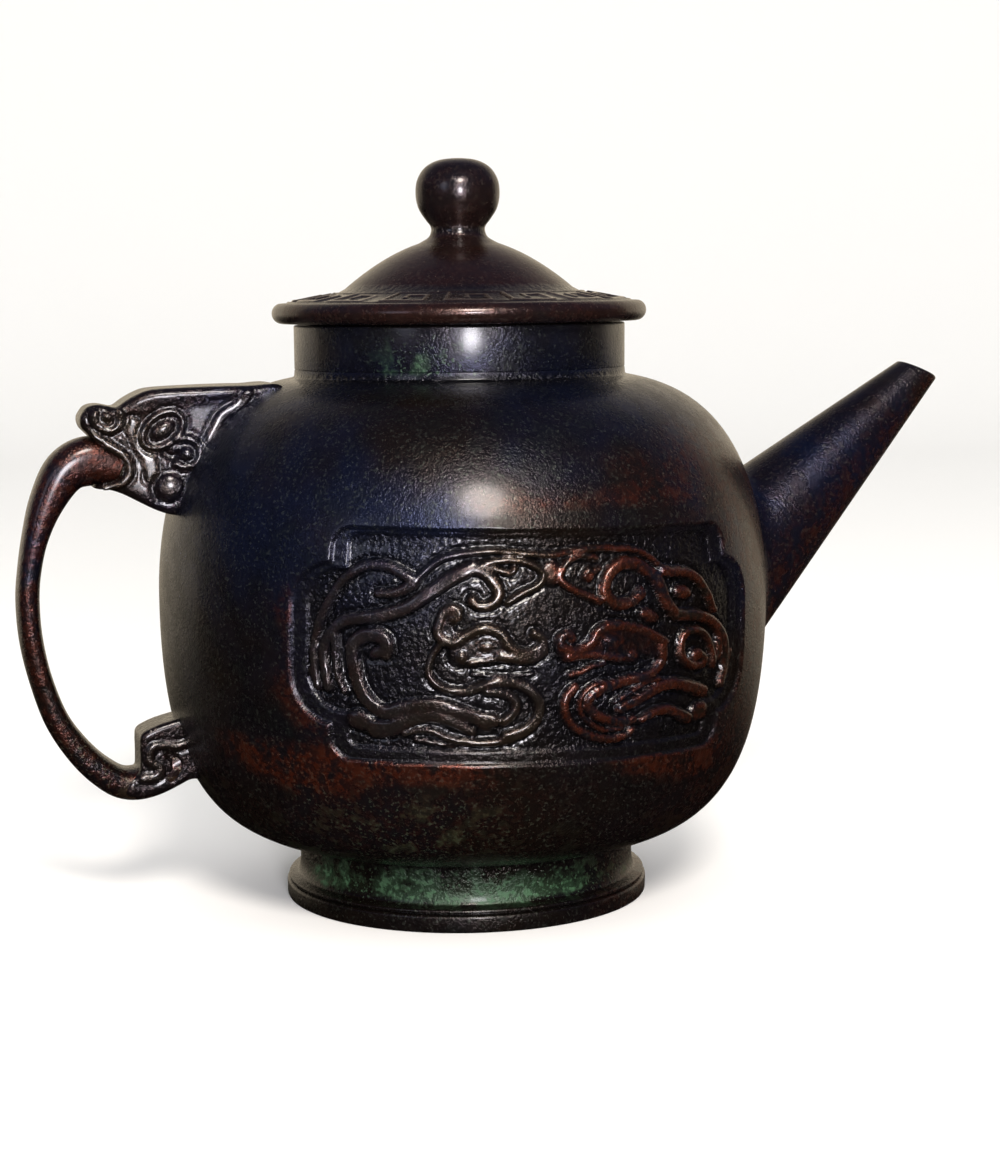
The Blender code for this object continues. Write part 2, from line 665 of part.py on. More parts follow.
def mouth_cutters():
    """A groove on each side between the lip and the strap's end."""
    path = smooth_path([(handle_x(x), z * MM) for x, z in MOUTH_LINE], 2)
    run = np.gradient(path, axis=0)
    run /= np.linalg.norm(run, axis=1)[:, None]
    groove_y = HANDLE_WIDTH / 2 - MOUTH_GROOVE
    items = []
    for side in (-1, 1):
        rings = []
        for (x, z), (dx, dz) in zip(path, run):
            ring = []
            for across, y in ((-1, HEAD_ROOT_WIDTH), (1, HEAD_ROOT_WIDTH), (0.4, groove_y), (-0.4, groove_y)):
                reach = across * MOUTH_GROOVE_WIDTH / 2
                ring.append((x - dz * reach, side * y, z + dx * reach))
            rings.append(ring)
        items.append(lofted("mouth_groove", rings))
    return items


# Lower end of the handle: a square hook that turns back up against the belly
HOOK_OUTLINE = [(75.5, 30.5), (75.5, 40.2), (74.7, 41.3), (69.6, 43.5), (60.0, 47.2), (52.0, 40.0),
                (56.0, 31.0)]
HOOK_SCROLL = [(73.0, 33.0), (73.0, 38.9), (66.0, 38.9), (60.0, 33.0)]


def hook():
    """The hook's block and the plain scroll that stands out a little on its sides."""
    block, scroll = [], []
    for side in (-1, 1):
        block.append([(handle_x(x), side * (HOOK_WIDTH / 2 - MM), z * MM) for x, z in HOOK_OUTLINE])
        scroll.append([(handle_x(x), side * HOOK_WIDTH / 2, z * MM) for x, z in HOOK_SCROLL])
    return [lofted("hook", block), lofted("hook_scroll", scroll)]


# Lid
def lid():
    top = LID_Z + LID_RIM
    dome_foot = top + LID_BAND_RISE
    rim_middle = LID_RADIUS - LID_RIM / 2

    def dome(radius, inset=0.0):
        return dome_foot + LID_DOME_RISE * (1 - (radius / LID_DOME_RADIUS) ** LID_DOME_BEND) - inset

    stem_z = dome(KNOB_STEM_RADIUS)
    knob_z = stem_z + KNOB_STEM + KNOB_HALF_HEIGHT * (1 - (KNOB_STEM_RADIUS / KNOB_RADIUS)
                                                      ** KNOB_SQUARENESS) ** (1 / KNOB_SQUARENESS)
    collar = NECK_RADIUS - WALL - LID_COLLAR_CLEARANCE
    inside_collar = collar - LID_WALL
    profile = [(r, dome(r, LID_WALL)) for r in np.linspace(0, LID_DOME_RADIUS, DOME_RINGS)]
    profile += [(inside_collar, LID_Z + LID_RIM - LID_WALL),
                (inside_collar, LID_Z - LID_COLLAR_DEPTH), (collar, LID_Z - LID_COLLAR_DEPTH),
                (collar, LID_Z)]
    for turn in np.linspace(-pi / 2, pi / 2, 5):
        profile.append((rim_middle + LID_RIM / 2 * cos(turn), LID_Z + LID_RIM / 2 * (1 + sin(turn))))
    band_ring = len(profile) - 1
    profile += [(r, dome(r)) for r in np.linspace(LID_DOME_RADIUS, KNOB_STEM_RADIUS + KNOB_STEM, DOME_RINGS)]
    profile.append((KNOB_STEM_RADIUS, stem_z + KNOB_STEM / 3))
    start = atan2(-(knob_z - stem_z - KNOB_STEM), KNOB_STEM_RADIUS)
    for turn in np.linspace(start, pi / 2, KNOB_RINGS):
        rise = KNOB_HALF_HEIGHT * abs(sin(turn)) ** (2 / KNOB_SQUARENESS)
        profile.append((KNOB_RADIUS * abs(cos(turn)) ** (2 / KNOB_SQUARENESS),
                        knob_z + (rise if turn > 0 else -rise)))
    profile[-1] = (0, profile[-1][1])

    def on_band(along, radius, depth):
        turn = along / rim_middle
        z = top + LID_BAND_RISE * (rim_middle - radius) / (rim_middle - LID_DOME_RADIUS) - depth
        return AXIS_X + radius * sin(turn), -radius * cos(turn), z

    grid = [(turn * rim_middle, radius) for radius in (LID_DOME_RADIUS, rim_middle)
            for turn in column_turns(LID_SIDES)]
    band = stepped_sheet(grid, [(fret(rim_middle), -FRET_HEIGHT)], on_band)
    return turned("lid", profile, LID_SIDES, band, (band_ring, band_ring + 1))


def fret(rim_middle):
    """A ring of squared hooks on the flange, as outlines of the unrolled band: (along, radius)."""
    band = rim_middle - LID_DOME_RADIUS
    unit = 2 * pi * rim_middle / FRET_UNITS
    hook = np.array(FRET_HOOK) * (1 - 2 * FRET_MARGIN) + FRET_MARGIN
    start = np.array([column_turns(LID_SIDES)[0] * rim_middle, LID_DOME_RADIUS])
    hook = hook * np.array([unit, band]) + start
    run = np.sign(np.round(np.diff(hook, axis=0), 6))
    side = np.stack([-run[:, 1], run[:, 0]], axis=1)
    corner = np.vstack([side[0] - run[0], side[:-1] + side[1:], side[-1] + run[-1]]) * FRET_STROKE / 2
    other = np.vstack([-side[0] - run[0], -side[:-1] - side[1:], -side[-1] + run[-1]]) * FRET_STROKE / 2
    outline = np.vstack([hook + corner, (hook + other)[::-1]])
    return [outline + np.array([unit * k, 0]) for k in range(FRET_UNITS)]


def finish(item, material):
    item.data.materials.clear()
    item.data.materials.append(material)
    item.data.shade_smooth()
    item.data.set_sharp_from_angle(angle=radians(30))


handle = strap()
add_boolean(handle, "UNION", as_tools("head_parts", [head()] + head_forms()))
add_boolean(handle, "UNION", as_tools("hook_parts", hook()))
add_boolean(handle, "DIFFERENCE", as_tools("mouth", mouth_cutters()))
pipe = spout()
bore = spout_bore()
body_seat = seat()
as_tools("joints", [body_seat, bore])
body = vessel()
add_boolean(body, "DIFFERENCE", as_tools("hollows", [cavity(), foot_hollow()]))
add_boolean(body, "DIFFERENCE", bore)
add_boolean(handle, "DIFFERENCE", body_seat)
add_boolean(pipe, "DIFFERENCE", body_seat)
add_boolean(pipe, "DIFFERENCE", bore)

cast_bronze = bronze("Patinated bronze", (0.045, 0.032, 0.028), 0.38)
for item in (body, handle, pipe):
    finish(item, cast_bronze)
finish(lid(), bronze("Polished lid bronze", (0.05, 0.034, 0.026), 0.3))
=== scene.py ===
from math import cos, pi, radians, sin

import bpy
import numpy as np
from mathutils import Matrix, Vector


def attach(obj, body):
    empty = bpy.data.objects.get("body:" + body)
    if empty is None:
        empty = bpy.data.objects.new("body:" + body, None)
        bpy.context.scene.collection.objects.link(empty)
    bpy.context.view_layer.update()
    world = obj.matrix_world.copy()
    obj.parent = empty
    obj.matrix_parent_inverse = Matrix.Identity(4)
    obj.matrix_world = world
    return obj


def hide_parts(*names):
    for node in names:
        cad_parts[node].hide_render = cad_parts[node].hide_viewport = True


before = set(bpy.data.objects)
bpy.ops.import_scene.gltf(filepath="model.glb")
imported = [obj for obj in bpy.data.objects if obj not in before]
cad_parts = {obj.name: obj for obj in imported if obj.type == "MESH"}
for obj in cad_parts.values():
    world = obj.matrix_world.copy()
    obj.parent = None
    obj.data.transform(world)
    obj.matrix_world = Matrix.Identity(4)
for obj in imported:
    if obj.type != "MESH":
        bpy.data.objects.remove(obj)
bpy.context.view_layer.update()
mm = 0.001      # all shapes below are worked out in millimetres
axisX = -8.7    # the vessel's axis, seen from the middle of the ewer's length
farAway = 9.0   # stands for "no edge near"
print("frame loaded:", ", ".join(sorted(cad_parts)))


# A soft step: 0 below low, 1 above high, 3 t^2 - 2 t^3 between
def softStep(low, high, value):
    t = np.clip((value - low) / (high - low), 0, 1)
    return t * t * (3 - 2 * t)


# A smooth curve through points of any dimension: the cubic whose slope at each point is half the way from the
# point before to the point after
def smoothCurve(points, steps):
    points = np.asarray(points, float)
    ends = np.vstack([2 * points[0] - points[1], points, 2 * points[-1] - points[-2]])
    a, b, c, d = ends[:-3], ends[1:-2], ends[2:-1], ends[3:]
    t = np.linspace(0, 1, steps, endpoint=False)[:, None, None]
    curve = (2 * b + (c - a) * t + (2 * a - 5 * b + 4 * c - d) * t ** 2 + (3 * b - a - 3 * c + d) * t ** 3) / 2
    return np.vstack([curve.transpose(1, 0, 2).reshape(-1, points.shape[1]), points[-1:]])


# Rows of vectors made one long
def unit(vectors):
    return vectors / np.linalg.norm(vectors, axis=1)[:, None]


# A curve from a to c that bends towards b: a (1 - t)^2 + 2 b t (1 - t) + c t^2
def bentLine(a, b, c, t):
    return a * (1 - t) ** 2 + 2 * b * t * (1 - t) + c * t ** 2


# Corners (r, z, size) turned into a line whose corners are quadratic curves that start that size before the corner
def roundedLine(corners, steps=5):
    corners = np.asarray(corners, float)
    line = [corners[:1, :2]]
    t = np.linspace(0, 1, steps)[:, None]
    for before, corner, after in zip(corners[:-2, :2], corners[1:-1], corners[2:, :2]):
        here, size = corner[:2], corner[2]
        start, end = here + unit(np.stack([before, after]) - here) * size
        line.append(bentLine(start, here, end, t) if size else here[None])
    return np.vstack(line + [corners[-1:, :2]])


# Distance of each point to a path, and how far along the path (in points) the nearest place is: the foot of the
# perpendicular on each piece, kept between its ends
def nearestOnPath(points, path):
    start, step = path[:-1, :2], np.diff(path[:, :2], axis=0)
    offset = points[:, None] - start[None]
    share = np.clip((offset * step).sum(-1) / np.maximum((step ** 2).sum(-1), 1e-12), 0, 1)
    gap = np.hypot(*(offset - share[..., None] * step).transpose(2, 0, 1))
    best = gap.argmin(1)
    rows = np.arange(len(points))
    return gap[rows, best], best + share[rows, best]


# Which points lie inside a closed outline: an odd number of its sides cross the line to their right
def insideOutline(points, outline):
    x, y = points[:, :1], points[:, 1:]
    (x1, y1), (x2, y2) = outline.T, np.roll(outline, -1, axis=0).T
    rise = np.where(y1 == y2, 1e-12, y2 - y1)
    crosses = ((y1 > y) != (y2 > y)) & (x < (x2 - x1) * (y - y1) / rise + x1)
    return crosses.sum(1) % 2 == 1


# Distance to a closed outline, positive inside
def insideDistance(points, outline):
    gap, along = nearestOnPath(points, np.vstack([outline, outline[:1]]))
    return np.where(insideOutline(points, outline), gap, -gap)


# Rise of rounded ribs along strokes of (u, v, width), from 0 beside them to about 1 on their crowns, and the
# distance to the nearest edge, negative on a rib: rib = soft wall * (share + (1 - share) * sqrt(1 - (gap / half)^2)),
# made lower where the stroke is narrow
def ribs(points, strokes, wallWidth, crownShare, margin=2.5):
    rise, edge = np.zeros(len(points)), np.full(len(points), farAway)
    for line in strokes:
        path = smoothCurve(line, 6)
        reach = path[:, 2].max() / 2 + margin
        near = np.all((points > path[:, :2].min(0) - reach) & (points < path[:, :2].max(0) + reach), axis=1)
        if not near.any():
            continue
        gap, along = nearestOnPath(points[near], path)
        half = np.interp(along, np.arange(len(path)), path[:, 2]) / 2
        crown = crownShare + (1 - crownShare) * np.sqrt(np.clip(1 - (gap / half) ** 2, 0, 1))
        tall = np.minimum(1, 0.5 + 0.64 * half)
        rise[near] = np.maximum(rise[near], softStep(-wallWidth / 2, wallWidth / 2, half - gap) * crown * tall)
        edge[near] = np.minimum(edge[near], gap - half)
    return rise, edge


# How far points lie from the middle of a tilted ellipse (u, v, half width, half height, degrees): 1 on its edge
def ellipseReach(points, ellipse):
    u, v, halfWidth, halfHeight, tilt = ellipse
    c, s = cos(radians(tilt)), sin(radians(tilt))
    du, dv = (points - [u, v]).T
    return np.hypot((du * c + dv * s) / halfWidth, (dv * c - du * s) / halfHeight)


# Ups and downs of hand work, from -1 to 1: sin(a x + b sin(c y)) cos(d y + e sin(f x))
def handWaves(x, y, a, b, c, d, e=0.0, f=0.0):
    return np.sin(a * x + b * np.sin(c * y)) * np.cos(d * y + e * np.sin(f * x))


# A line of indices or turns closed into a ring by its first value, moved on by one round
def around(ring, oneRound=0):
    return np.append(ring, ring[0] + oneRound)


# Places of a turned surface: the axis plus the radius along (sin, -cos) of the turn, so turn 0 faces the front
def turnedPoints(turn, radius, z):
    return np.stack(np.broadcast_arrays(axisX + radius * np.sin(turn), -radius * np.cos(turn), z), -1)


# A mesh shell is a dictionary: points in mm, faces as rows of indices, and its patina, one row of
# (verdigris, red-brown, dirt and painted shade, rubbed) for each point. Its faces look outwards: the volume below
# them, the sum of p0 . (p1 x p2) over all triangles, is made positive
def shell(points, faces, patina):
    volume = 0.0
    for group in faces:
        for k in range(1, group.shape[1] - 1):
            a, b, c = points[group[:, 0]], points[group[:, k]], points[group[:, k + 1]]
            volume += (a * np.cross(b, c)).sum()
    return {"points": points, "faces": faces if volume > 0 else [group[:, ::-1] for group in faces], "patina": patina}


# Quads between the rows of a grid of indices; closed joins the last column to the first
def gridFaces(rows, columns, closed, first=0):
    index = first + np.arange(rows * columns).reshape(rows, columns)
    if closed:
        index = np.hstack([index, index[:, :1]])
    return np.stack([index[:-1, :-1], index[:-1, 1:], index[1:, 1:], index[1:, :-1]], -1).reshape(-1, 4)


# Triangles between two lines of points of different spacing, sewn in the order of their steps' middles
def sewnFaces(low, lowAt, high, highAt):
    lowMiddle, highMiddle = (lowAt[1:] + lowAt[:-1]) / 2, (highAt[1:] + highAt[:-1]) / 2
    overLow = high[np.searchsorted(highMiddle, lowMiddle, "left")]
    underHigh = low[np.searchsorted(lowMiddle, highMiddle, "right")]
    return np.vstack([np.stack([low[:-1], low[1:], overLow], 1),
                      np.stack([high[1:], high[:-1], underHigh], 1)])


# Shells one after the other as one shell
def joinedShells(shells):
    faces, first = [], 0
    for item in shells:
        faces += [f + first for f in item["faces"]]
        first += len(item["points"])
    return {"points": np.vstack([s["points"] for s in shells]), "faces": faces,
            "patina": np.vstack([s["patina"] for s in shells])}


# An object of some data at the origin, linked to the scene
def placed(name, data):
    item = bpy.data.objects.new(name, data)
    bpy.context.scene.collection.objects.link(item)
    return item


# A shell as a Blender mesh object at the origin, smooth, with its patina as a point attribute
def meshPiece(name, item):
    faces = [row for group in item["faces"] for row in group.tolist()]
    mesh = bpy.data.meshes.new(name)
    mesh.from_pydata((item["points"] * mm).tolist(), [], faces)
    mesh.attributes.new("patina", "FLOAT_COLOR", "POINT").data.foreach_set("color", item["patina"].ravel())
    mesh.shade_smooth()
    return placed(name, mesh)


# The mesh that an object's modifiers give: points, triangles and normals
def evaluated(piece):
    found = piece.evaluated_get(bpy.context.evaluated_depsgraph_get()).to_mesh()
    found.calc_loop_triangles()
    wanted = ((found.vertices, "co", float), (found.loop_triangles, "vertices", int),
              (found.vertices, "normal", float))
    result = []
    for items, name, kind in wanted:
        values = np.empty(len(items) * 3, kind)
        items.foreach_get(name, values)
        result.append(values.reshape(-1, 3))
    return result


# Vessel: a turned belly with a neck and a foot ring, and a sunk panel of carving on each broad side
vessel = {
    "radius": 68.8, "widest": 70.7, "shoulderRise": 48.9, "bellyDrop": 57.2,
    "shoulderPower": 4.83, "shoulderBend": 2.0, "bellyPower": 5.76, "bellyBend": 2.44,
    "wall": 3.0, "neck": 37.2, "rim": 129.93, "neckInside": 34.2, "recessTop": 13.9, "waist": 38.2,
    "unevenness": 0.09,                  # how far the cast surface swells and sinks
    # Its waves as (share, waves round, mm up for each radian, phase)
    "waves": [(1, 3, 17, 0), (1, 5, -11, 1.3), (0.7, 8, 7, 0.4), (0.5, 13, -5, 0)],
    "columns": 120,                      # round the foot, the shoulder and the neck
    "zoneLow": 38.2, "zoneHigh": 92.4,   # the belt that holds the panels
    "panelHalf": 59.0, "seam": 0.016,    # half the width of a panel's grid in mm, and the strip beside it in radians
    "undersideRows": 24, "shoulderRows": 20, "hollowRows": 26,
    # The foot's section from the recess outwards, as (r, z, rounding)
    "foot": [(4, 13.9, 0), (36.5, 13.9, 2.2), (36.5, 0, 0.7), (41.3, 0, 0.7), (41.35, 3.75, 0.6), (40.1, 3.95, 0.15),
             (40.15, 4.25, 0.15), (40.95, 4.35, 0.25), (40.85, 4.95, 0.3), (38.7, 5.5, 0.5), (38.2, 7.4, 1.0),
             (38.15, 13.2, 0)],
    # Blots of red-brown on the belly as (turn, level, half width in radians, half height, strength)
    "blots": [(-0.66, 41, 0.5, 7, 1.0), (0.55, 40, 0.45, 6, 0.8), (0.62, 101, 0.35, 8, 0.35),
              (0.3, 95, 0.5, 2.5, 0.45), (-0.75, 62, 0.12, 22, 0.5), (2.6, 44, 0.6, 8, 0.9), (3.7, 98, 0.5, 8, 0.6)],
}


# Radius of the belly at a level: R (1 - share^bend)^(1 / power), with its own share above and below the widest level
def bellyRadius(z, inset=0.0):
    up = np.clip((z - vessel["widest"]) / (vessel["shoulderRise"] - inset), 0, 1)
    down = np.clip((vessel["widest"] - z) / (vessel["bellyDrop"] - inset), 0, 1)
    return ((vessel["radius"] - inset) * (1 - up ** vessel["shoulderBend"]) ** (1 / vessel["shoulderPower"])
            * (1 - down ** vessel["bellyBend"]) ** (1 / vessel["bellyPower"]))


# Level where the belly has narrowed to a radius: the same formula solved for the level
def shoulderLevel(radius, inset=0.0):
    left = 1 - (radius / (vessel["radius"] - inset)) ** vessel["shoulderPower"]
    return vessel["widest"] + (vessel["shoulderRise"] - inset) * left ** (1 / vessel["shoulderBend"])


def bottomLevel(radius, inset=0.0):
    left = 1 - (radius / (vessel["radius"] - inset)) ** vessel["bellyPower"]
    return vessel["widest"] - (vessel["bellyDrop"] - inset) * left ** (1 / vessel["bellyBend"])


# Points (r, z) along the belly between two levels, evenly spaced along the curve
def bellyLine(z1, z2, count, inset=0.0):
    z = (z1 + z2) / 2 - (z2 - z1) / 2 * np.cos(np.linspace(0, pi, 4001))
    line = np.stack([bellyRadius(z, inset), z], 1)
    run = np.append(0, np.cumsum(np.hypot(*np.diff(line, axis=0).T)))
    even = np.linspace(0, run[-1], count)
    return np.stack([np.interp(even, run, line[:, 0]), np.interp(even, run, line[:, 1])], 1)


# The unevenness of the casting: a sum of slow waves round and up the vessel
def castWaves(turn, z):
    waves = sum(share * np.sin(count * turn + z / length + phase) for share, count, length, phase in vessel["waves"])
    return vessel["unevenness"] / 2 * waves


# Panels: an outline of a tall and a wide rounded box, sunk in two steps, with the carving on its ground.
# Strokes are (u, v, width) in mm from the panel's middle
panel = {
    "z": 65.3, "tilt": radians(-1.5),
    "tall": (46.9, 24.0, 4.5), "wide": (55.8, 16.8, 10.0),   # half width, half height, corner
    "frameSide": 3.6, "frameEdge": 2.1,
    "lift": 0.8,             # how far the ground's outline stands above the middle of the outer one
    "firstStep": 0.9, "bevel": 0.4, "ground": 2.0,
    "rise": 1.65, "trench": 0.4, "balls": 1.5, "mass": 0.85, "broader": 1.36,
    # Marks of the tools as (depth, the values of handWaves)
    "ticks": (0.06, (2.9, 1.5, 0.7, 0.9)), "wear": (0.15, (0.55, 1.1, 0.31, 0.43)),
    "lumps": (0.08, (3.3, 2, 1.3, 2.9, 1.7, 0.9)),
    "frontGrid": (280, 134), "backGrid": (124, 58), "sideGrid": (30, 34),   # columns, rows
}


# A stroke of constant width, or one whose width changes evenly from the first to the second value
def stroke(width, *points, end=None):
    points = np.array(points, float)
    return np.column_stack([points, np.linspace(width, width if end is None else end, len(points))])


# Strokes of the carving, broader than they're listed: the lists follow the crowns of the bands
def broadened(strokes):
    return [np.column_stack([s[:, :2], s[:, 2] * (panel["broader"] if s[:, 2].max() > 0.7 else 1)]) for s in strokes]


leftDragon = [
    stroke(1.6, (-28.5, 13.5), (-30.8, 14.75), (-34.2, 16.2), (-37.5, 16.5), (-40, 16), (-42.5, 14.5), (-44.6, 12.7),
           (-46.25, 10.2), (-47.9, 7.25), (-49.4, 3.9), (-50.2, 1), (-50.6, -2.3), (-50.4, -5.7), (-49.8, -9),
           end=1.3),
    stroke(1.9, (-28.8, 13.2), (-30.8, 11.8), (-33.3, 11), (-36.5, 10.9), end=1.2),
    stroke(1.0, (-27.9, 14.3), (-25.4, 16.6), (-22.5, 18.3), (-19.2, 19.1), (-15.8, 19.5), (-12, 19.75), (-8, 19.5),
           (-3.75, 19.1), (0, 18.9)),
    stroke(1.6, (-47.3, -9), (-48.3, -3), (-47.9, .2), (-46.5, 2.5), (-44.5, 4.4), (-42, 5.3), (-36, 6.3),
           (-30.6, 8), (-25.6, 11.3), (-20.5, 14.6), (-16.5, 16.5), end=2.2),
    stroke(1.4, (-45.9, 2), (-45.6, -2.3), (-45, -6.5), (-43.6, -9.8), end=0.9),
    stroke(1.2, (-51.25, -5.7), (-50.8, -7.2), (-50, -8.6), end=0.8),
    stroke(2.0, (-16.5, 16.6), (-13.9, 15.4), (-12.3, 13.7), (-11.2, 11.7), (-11.8, 9.9), (-13.4, 8.9), (-15.4, 8.9),
           (-16.8, 9.7), end=1.4),
    stroke(1.1, (-14.2, 17.2), (-12, 17.7), (-8.75, 18.1), (-5.8, 17.7), (-3.3, 16.6), (-1.9, 15.2), (-2.3, 13.5),
           (-4.2, 12.25), (-6.7, 11.2), (-9.4, 9.5)),
    stroke(0.9, (-13, 16.5), (-10, 15.6), (-8.6, 15.6), (-8, 16.4), end=1.2),
    stroke(1.5, (-19.8, 6.3), (-19.6, 7.6), (-21, 8.2), (-22.6, 7.2), (-23.3, 5.2), (-23.75, 3.3), (-22.5, 1.8),
           (-20.4, 1.4), (-18.3, 2.7), (-16.25, 3.7), (-14.2, 4.3), (-12.1, 4.1), (-10.4, 3.1), (-9.4, 1.4),
           (-8.3, .2), (-6.25, -.7), (-4.2, -.7), (-2.5, .2), (-1.9, 1.4), (-2.3, 2.5), (-3.75, 3.1)),
    stroke(1.6, (-10.8, -1.5), (-8.3, -1.7), (-5.8, -1.9), (-3.75, -1.5), (-1.9, -.25), end=2.0),
    stroke(0.6, (-17, .6), (-15.2, 1.9), (-13.75, 2.25), (-12, 1.9), (-10.2, .6), (-12, -.9), (-13.75, -1.3),
           (-15.2, -.9), (-17, .6)),
    stroke(1.0, (-17, -2.75), (-14.2, -2.3), (-10.8, -1.9), end=0.7),
    stroke(0.6, (-16.7, -5), (-10, -5.5), (-3.75, -5)),
    stroke(1.0, (-22.5, 1.8), (-24.6, -1.1), (-25.4, -3.2), (-25.6, -4.8), (-24.6, -6.5), (-22.5, -8), (-20, -8.6),
           (-17, -8.4), (-14.2, -7.3), (-11.7, -6.7), (-9.2, -6.7), (-6.25, -7.3), (-4.2, -8.6), (-2.5, -10.7),
           (-2.3, -13.2), (-3.75, -15.7), (-6.25, -17.3), (-9.2, -18.2), end=1.9),
    stroke(1.2, (-13.5, -8.6), (-10, -9), (-7.9, -10), (-7.2, -11.7), (-8.2, -13.6), (-9.8, -14.8), end=1.6),
    stroke(2.2, (-34.6, -1.2), (-34.4, .6), (-35.3, 1.9), (-37.5, 2.3), (-39.6, 1.9), (-41.3, .6), (-41.8, -1.6),
           (-41.4, -4.6), (-40.8, -7.3), (-39.8, -9.5), (-38.2, -11.6), (-36, -13.1), (-34.2, -13.4), (-31.7, -12.6),
           (-28.75, -12), (-25.4, -11.6), (-22.5, -11.8), (-20, -12.6), (-17, -13.6), (-14.2, -14.4), (-12.1, -14.6)),
    stroke(2.8, (-37, -17), (-33.5, -16.8), (-30, -14.9), (-26.6, -13.9), (-23.5, -13.9), (-20.6, -14.8),
           (-18, -16.1), (-16.3, -17), end=1.4),
    stroke(1.0, (-30.8, -17.75), (-27.5, -16.9), (-24.6, -17.1), (-22.1, -18.2), (-19.2, -19), (-15.8, -19.3),
           (-12, -19.3), (-7.9, -18.6), end=1.3),
    stroke(0.8, (-28.3, -18.8), (-24.6, -19.4), (-20.4, -20)),
]
# Balls are (u, v, half width, half height, tilt in degrees)
leftBalls = [(-16.6, 10, 1.3, 1.2, 0), (0, 15.4, 2.4, 2.7, 0), (-20.6, 6.3, 1.3, 1.3, 0), (-13.75, .45, 2.1, 1.0, 0),
             (-18.75, -1.7, 1.6, 1.6, 0), (-36.2, -1.1, 2.3, 1.3, 25), (-40.3, -15.6, 3.6, 2.2, -10),
             (-14, -15.6, 2.2, 1.2, -35)]

rightDragon = [
    stroke(1.0, (-25.8, 16.2), (-23.3, 18), (-20, 19.4), (-15, 19.9), (-8, 20), (0, 18.9)),
    stroke(1.7, (-26.7, 15), (-29.2, 14.5), (-32.5, 14.3), (-35, 13.9), (-37.5, 12.7), (-39.6, 11), (-41.25, 8.9),
           (-42.5, 6.8), (-43.75, 5.6), end=1.3),
    stroke(1.7, (-48.3, -10.7), (-49.4, -7.3), (-49.4, -4.4), (-48.3, -1.5), (-46.25, 1), (-43.3, 3.1), (-40, 4.3),
           (-36.7, 5), (-33.3, 5.2), (-30.8, 5.6), (-29.2, 6.8), (-27.5, 8.9), (-26.25, 11.4), (-24.6, 13.9),
           (-22.5, 15.2), (-20, 16.6), (-16.25, 17), end=2.0),
    stroke(1.5, (-38.3, -3.2), (-40.4, -4.4), (-40.2, -5.6), (-37.5, -5.9), (-34.6, -4.8), (-32.9, -3.2),
           (-32.7, -.7), (-33.3, 1), (-35, 1.8), (-37.5, 1.8), (-40, 1), (-42.1, -.7), (-43.3, -3.2),
           (-43.75, -5.7), end=1.2),
    stroke(1.3, (-46, 1), (-46.6, -2), (-46, -5), end=0.9),
    stroke(1.1, (-45.2, -1.6), (-44.9, -3.6), (-43.9, -6.6), end=0.8),
    stroke(1.2, (-51, -4), (-50.6, -7.4), (-49.6, -10), end=0.8),
    stroke(2.1, (-41.25, -11.7), (-39.2, -11.1), (-36.7, -10.25), (-33.3, -9.4), (-30, -9), (-26.7, -9.4),
           (-24.2, -10.25), (-21.7, -11.3), (-19.2, -12.3), (-16.7, -13.2), end=1.6),
    stroke(0.8, (-26.7, -7.6), (-23.3, -8), (-20, -9.3), (-16.7, -10.9), (-15, -11.7)),
    stroke(1.9, (-36.7, -17), (-33.3, -15.7), (-30, -14.6), (-26.7, -14.6), (-23.75, -15.4), (-22.1, -16), end=1.2),
    stroke(1.7, (-26.7, -.7), (-27, -2.5), (-26.7, -4.4), (-24.6, -6.1), (-21.7, -6.9), (-18.3, -7.3), (-15, -8),
           (-11.7, -9), (-9.2, -10.25), (-8.5, -11.9), (-10, -13.6), (-12.1, -14.8), (-15, -15.7), (-18.3, -16.1),
           (-20, -15.7), end=1.5),
    stroke(0.8, (-12.9, -7.3), (-10, -7.75), (-7.5, -9.4), (-6.7, -11.5), (-7.5, -14), (-10, -16.1), (-12.9, -17.5),
           (-17.5, -17.5)),
    stroke(1.5, (-5.4, -8.2), (-3.75, -9.8), (-3.3, -12.3), (-4.6, -15.25), (-7.1, -17.3), (-10.8, -18.9),
           (-15, -19.6), (-18.3, -19), (-20, -17.9), end=1.2),
    stroke(1.5, (-27.5, .2), (-24.6, 1.5), (-21.7, 2.9), (-18.3, 3.7), (-15, 4.3), (-12, 4.1), (-10, 2.9), (-9, 1),
           (-7.1, -.25), (-4.2, -.5), (-2.1, .6), (-1.9, 2.25), (-3.75, 2.9), (-4.6, 1.9), end=1.3),
    stroke(0.6, (-16.4, 1.1), (-14.6, 2.5), (-12.6, 2.6), (-10.6, 1.5), (-12, .2), (-14.2, -.1), (-16.4, 1.1)),
    stroke(1.0, (-16.25, -2.75), (-13.3, -2.3), (-10, -1.7), (-6.7, -1.6), (-3.4, -1.9), end=1.4),
    stroke(0.8, (-12, -3.5), (-9.2, -3.9), (-6.7, -5), (-4.2, -5.5)),
    stroke(1.9, (-16.25, 17), (-13.75, 15.6), (-12.3, 13.5), (-12, 11), (-14, 9), (-16.5, 8.6), (-19, 9.3),
           (-20.8, 10.8), end=1.7),
    stroke(1.1, (-10, 18.1), (-6.7, 18.7), (-4.2, 18.1), (-2.5, 16.4), (-1.7, 14.3), (-3.3, 12.7), (-5.8, 11.4),
           (-8.75, 10.2), (-10.8, 9.3)),
    stroke(0.9, (-10.8, 16), (-9.2, 15.2), (-8.3, 13.9), (-7.1, 14.75)),
]
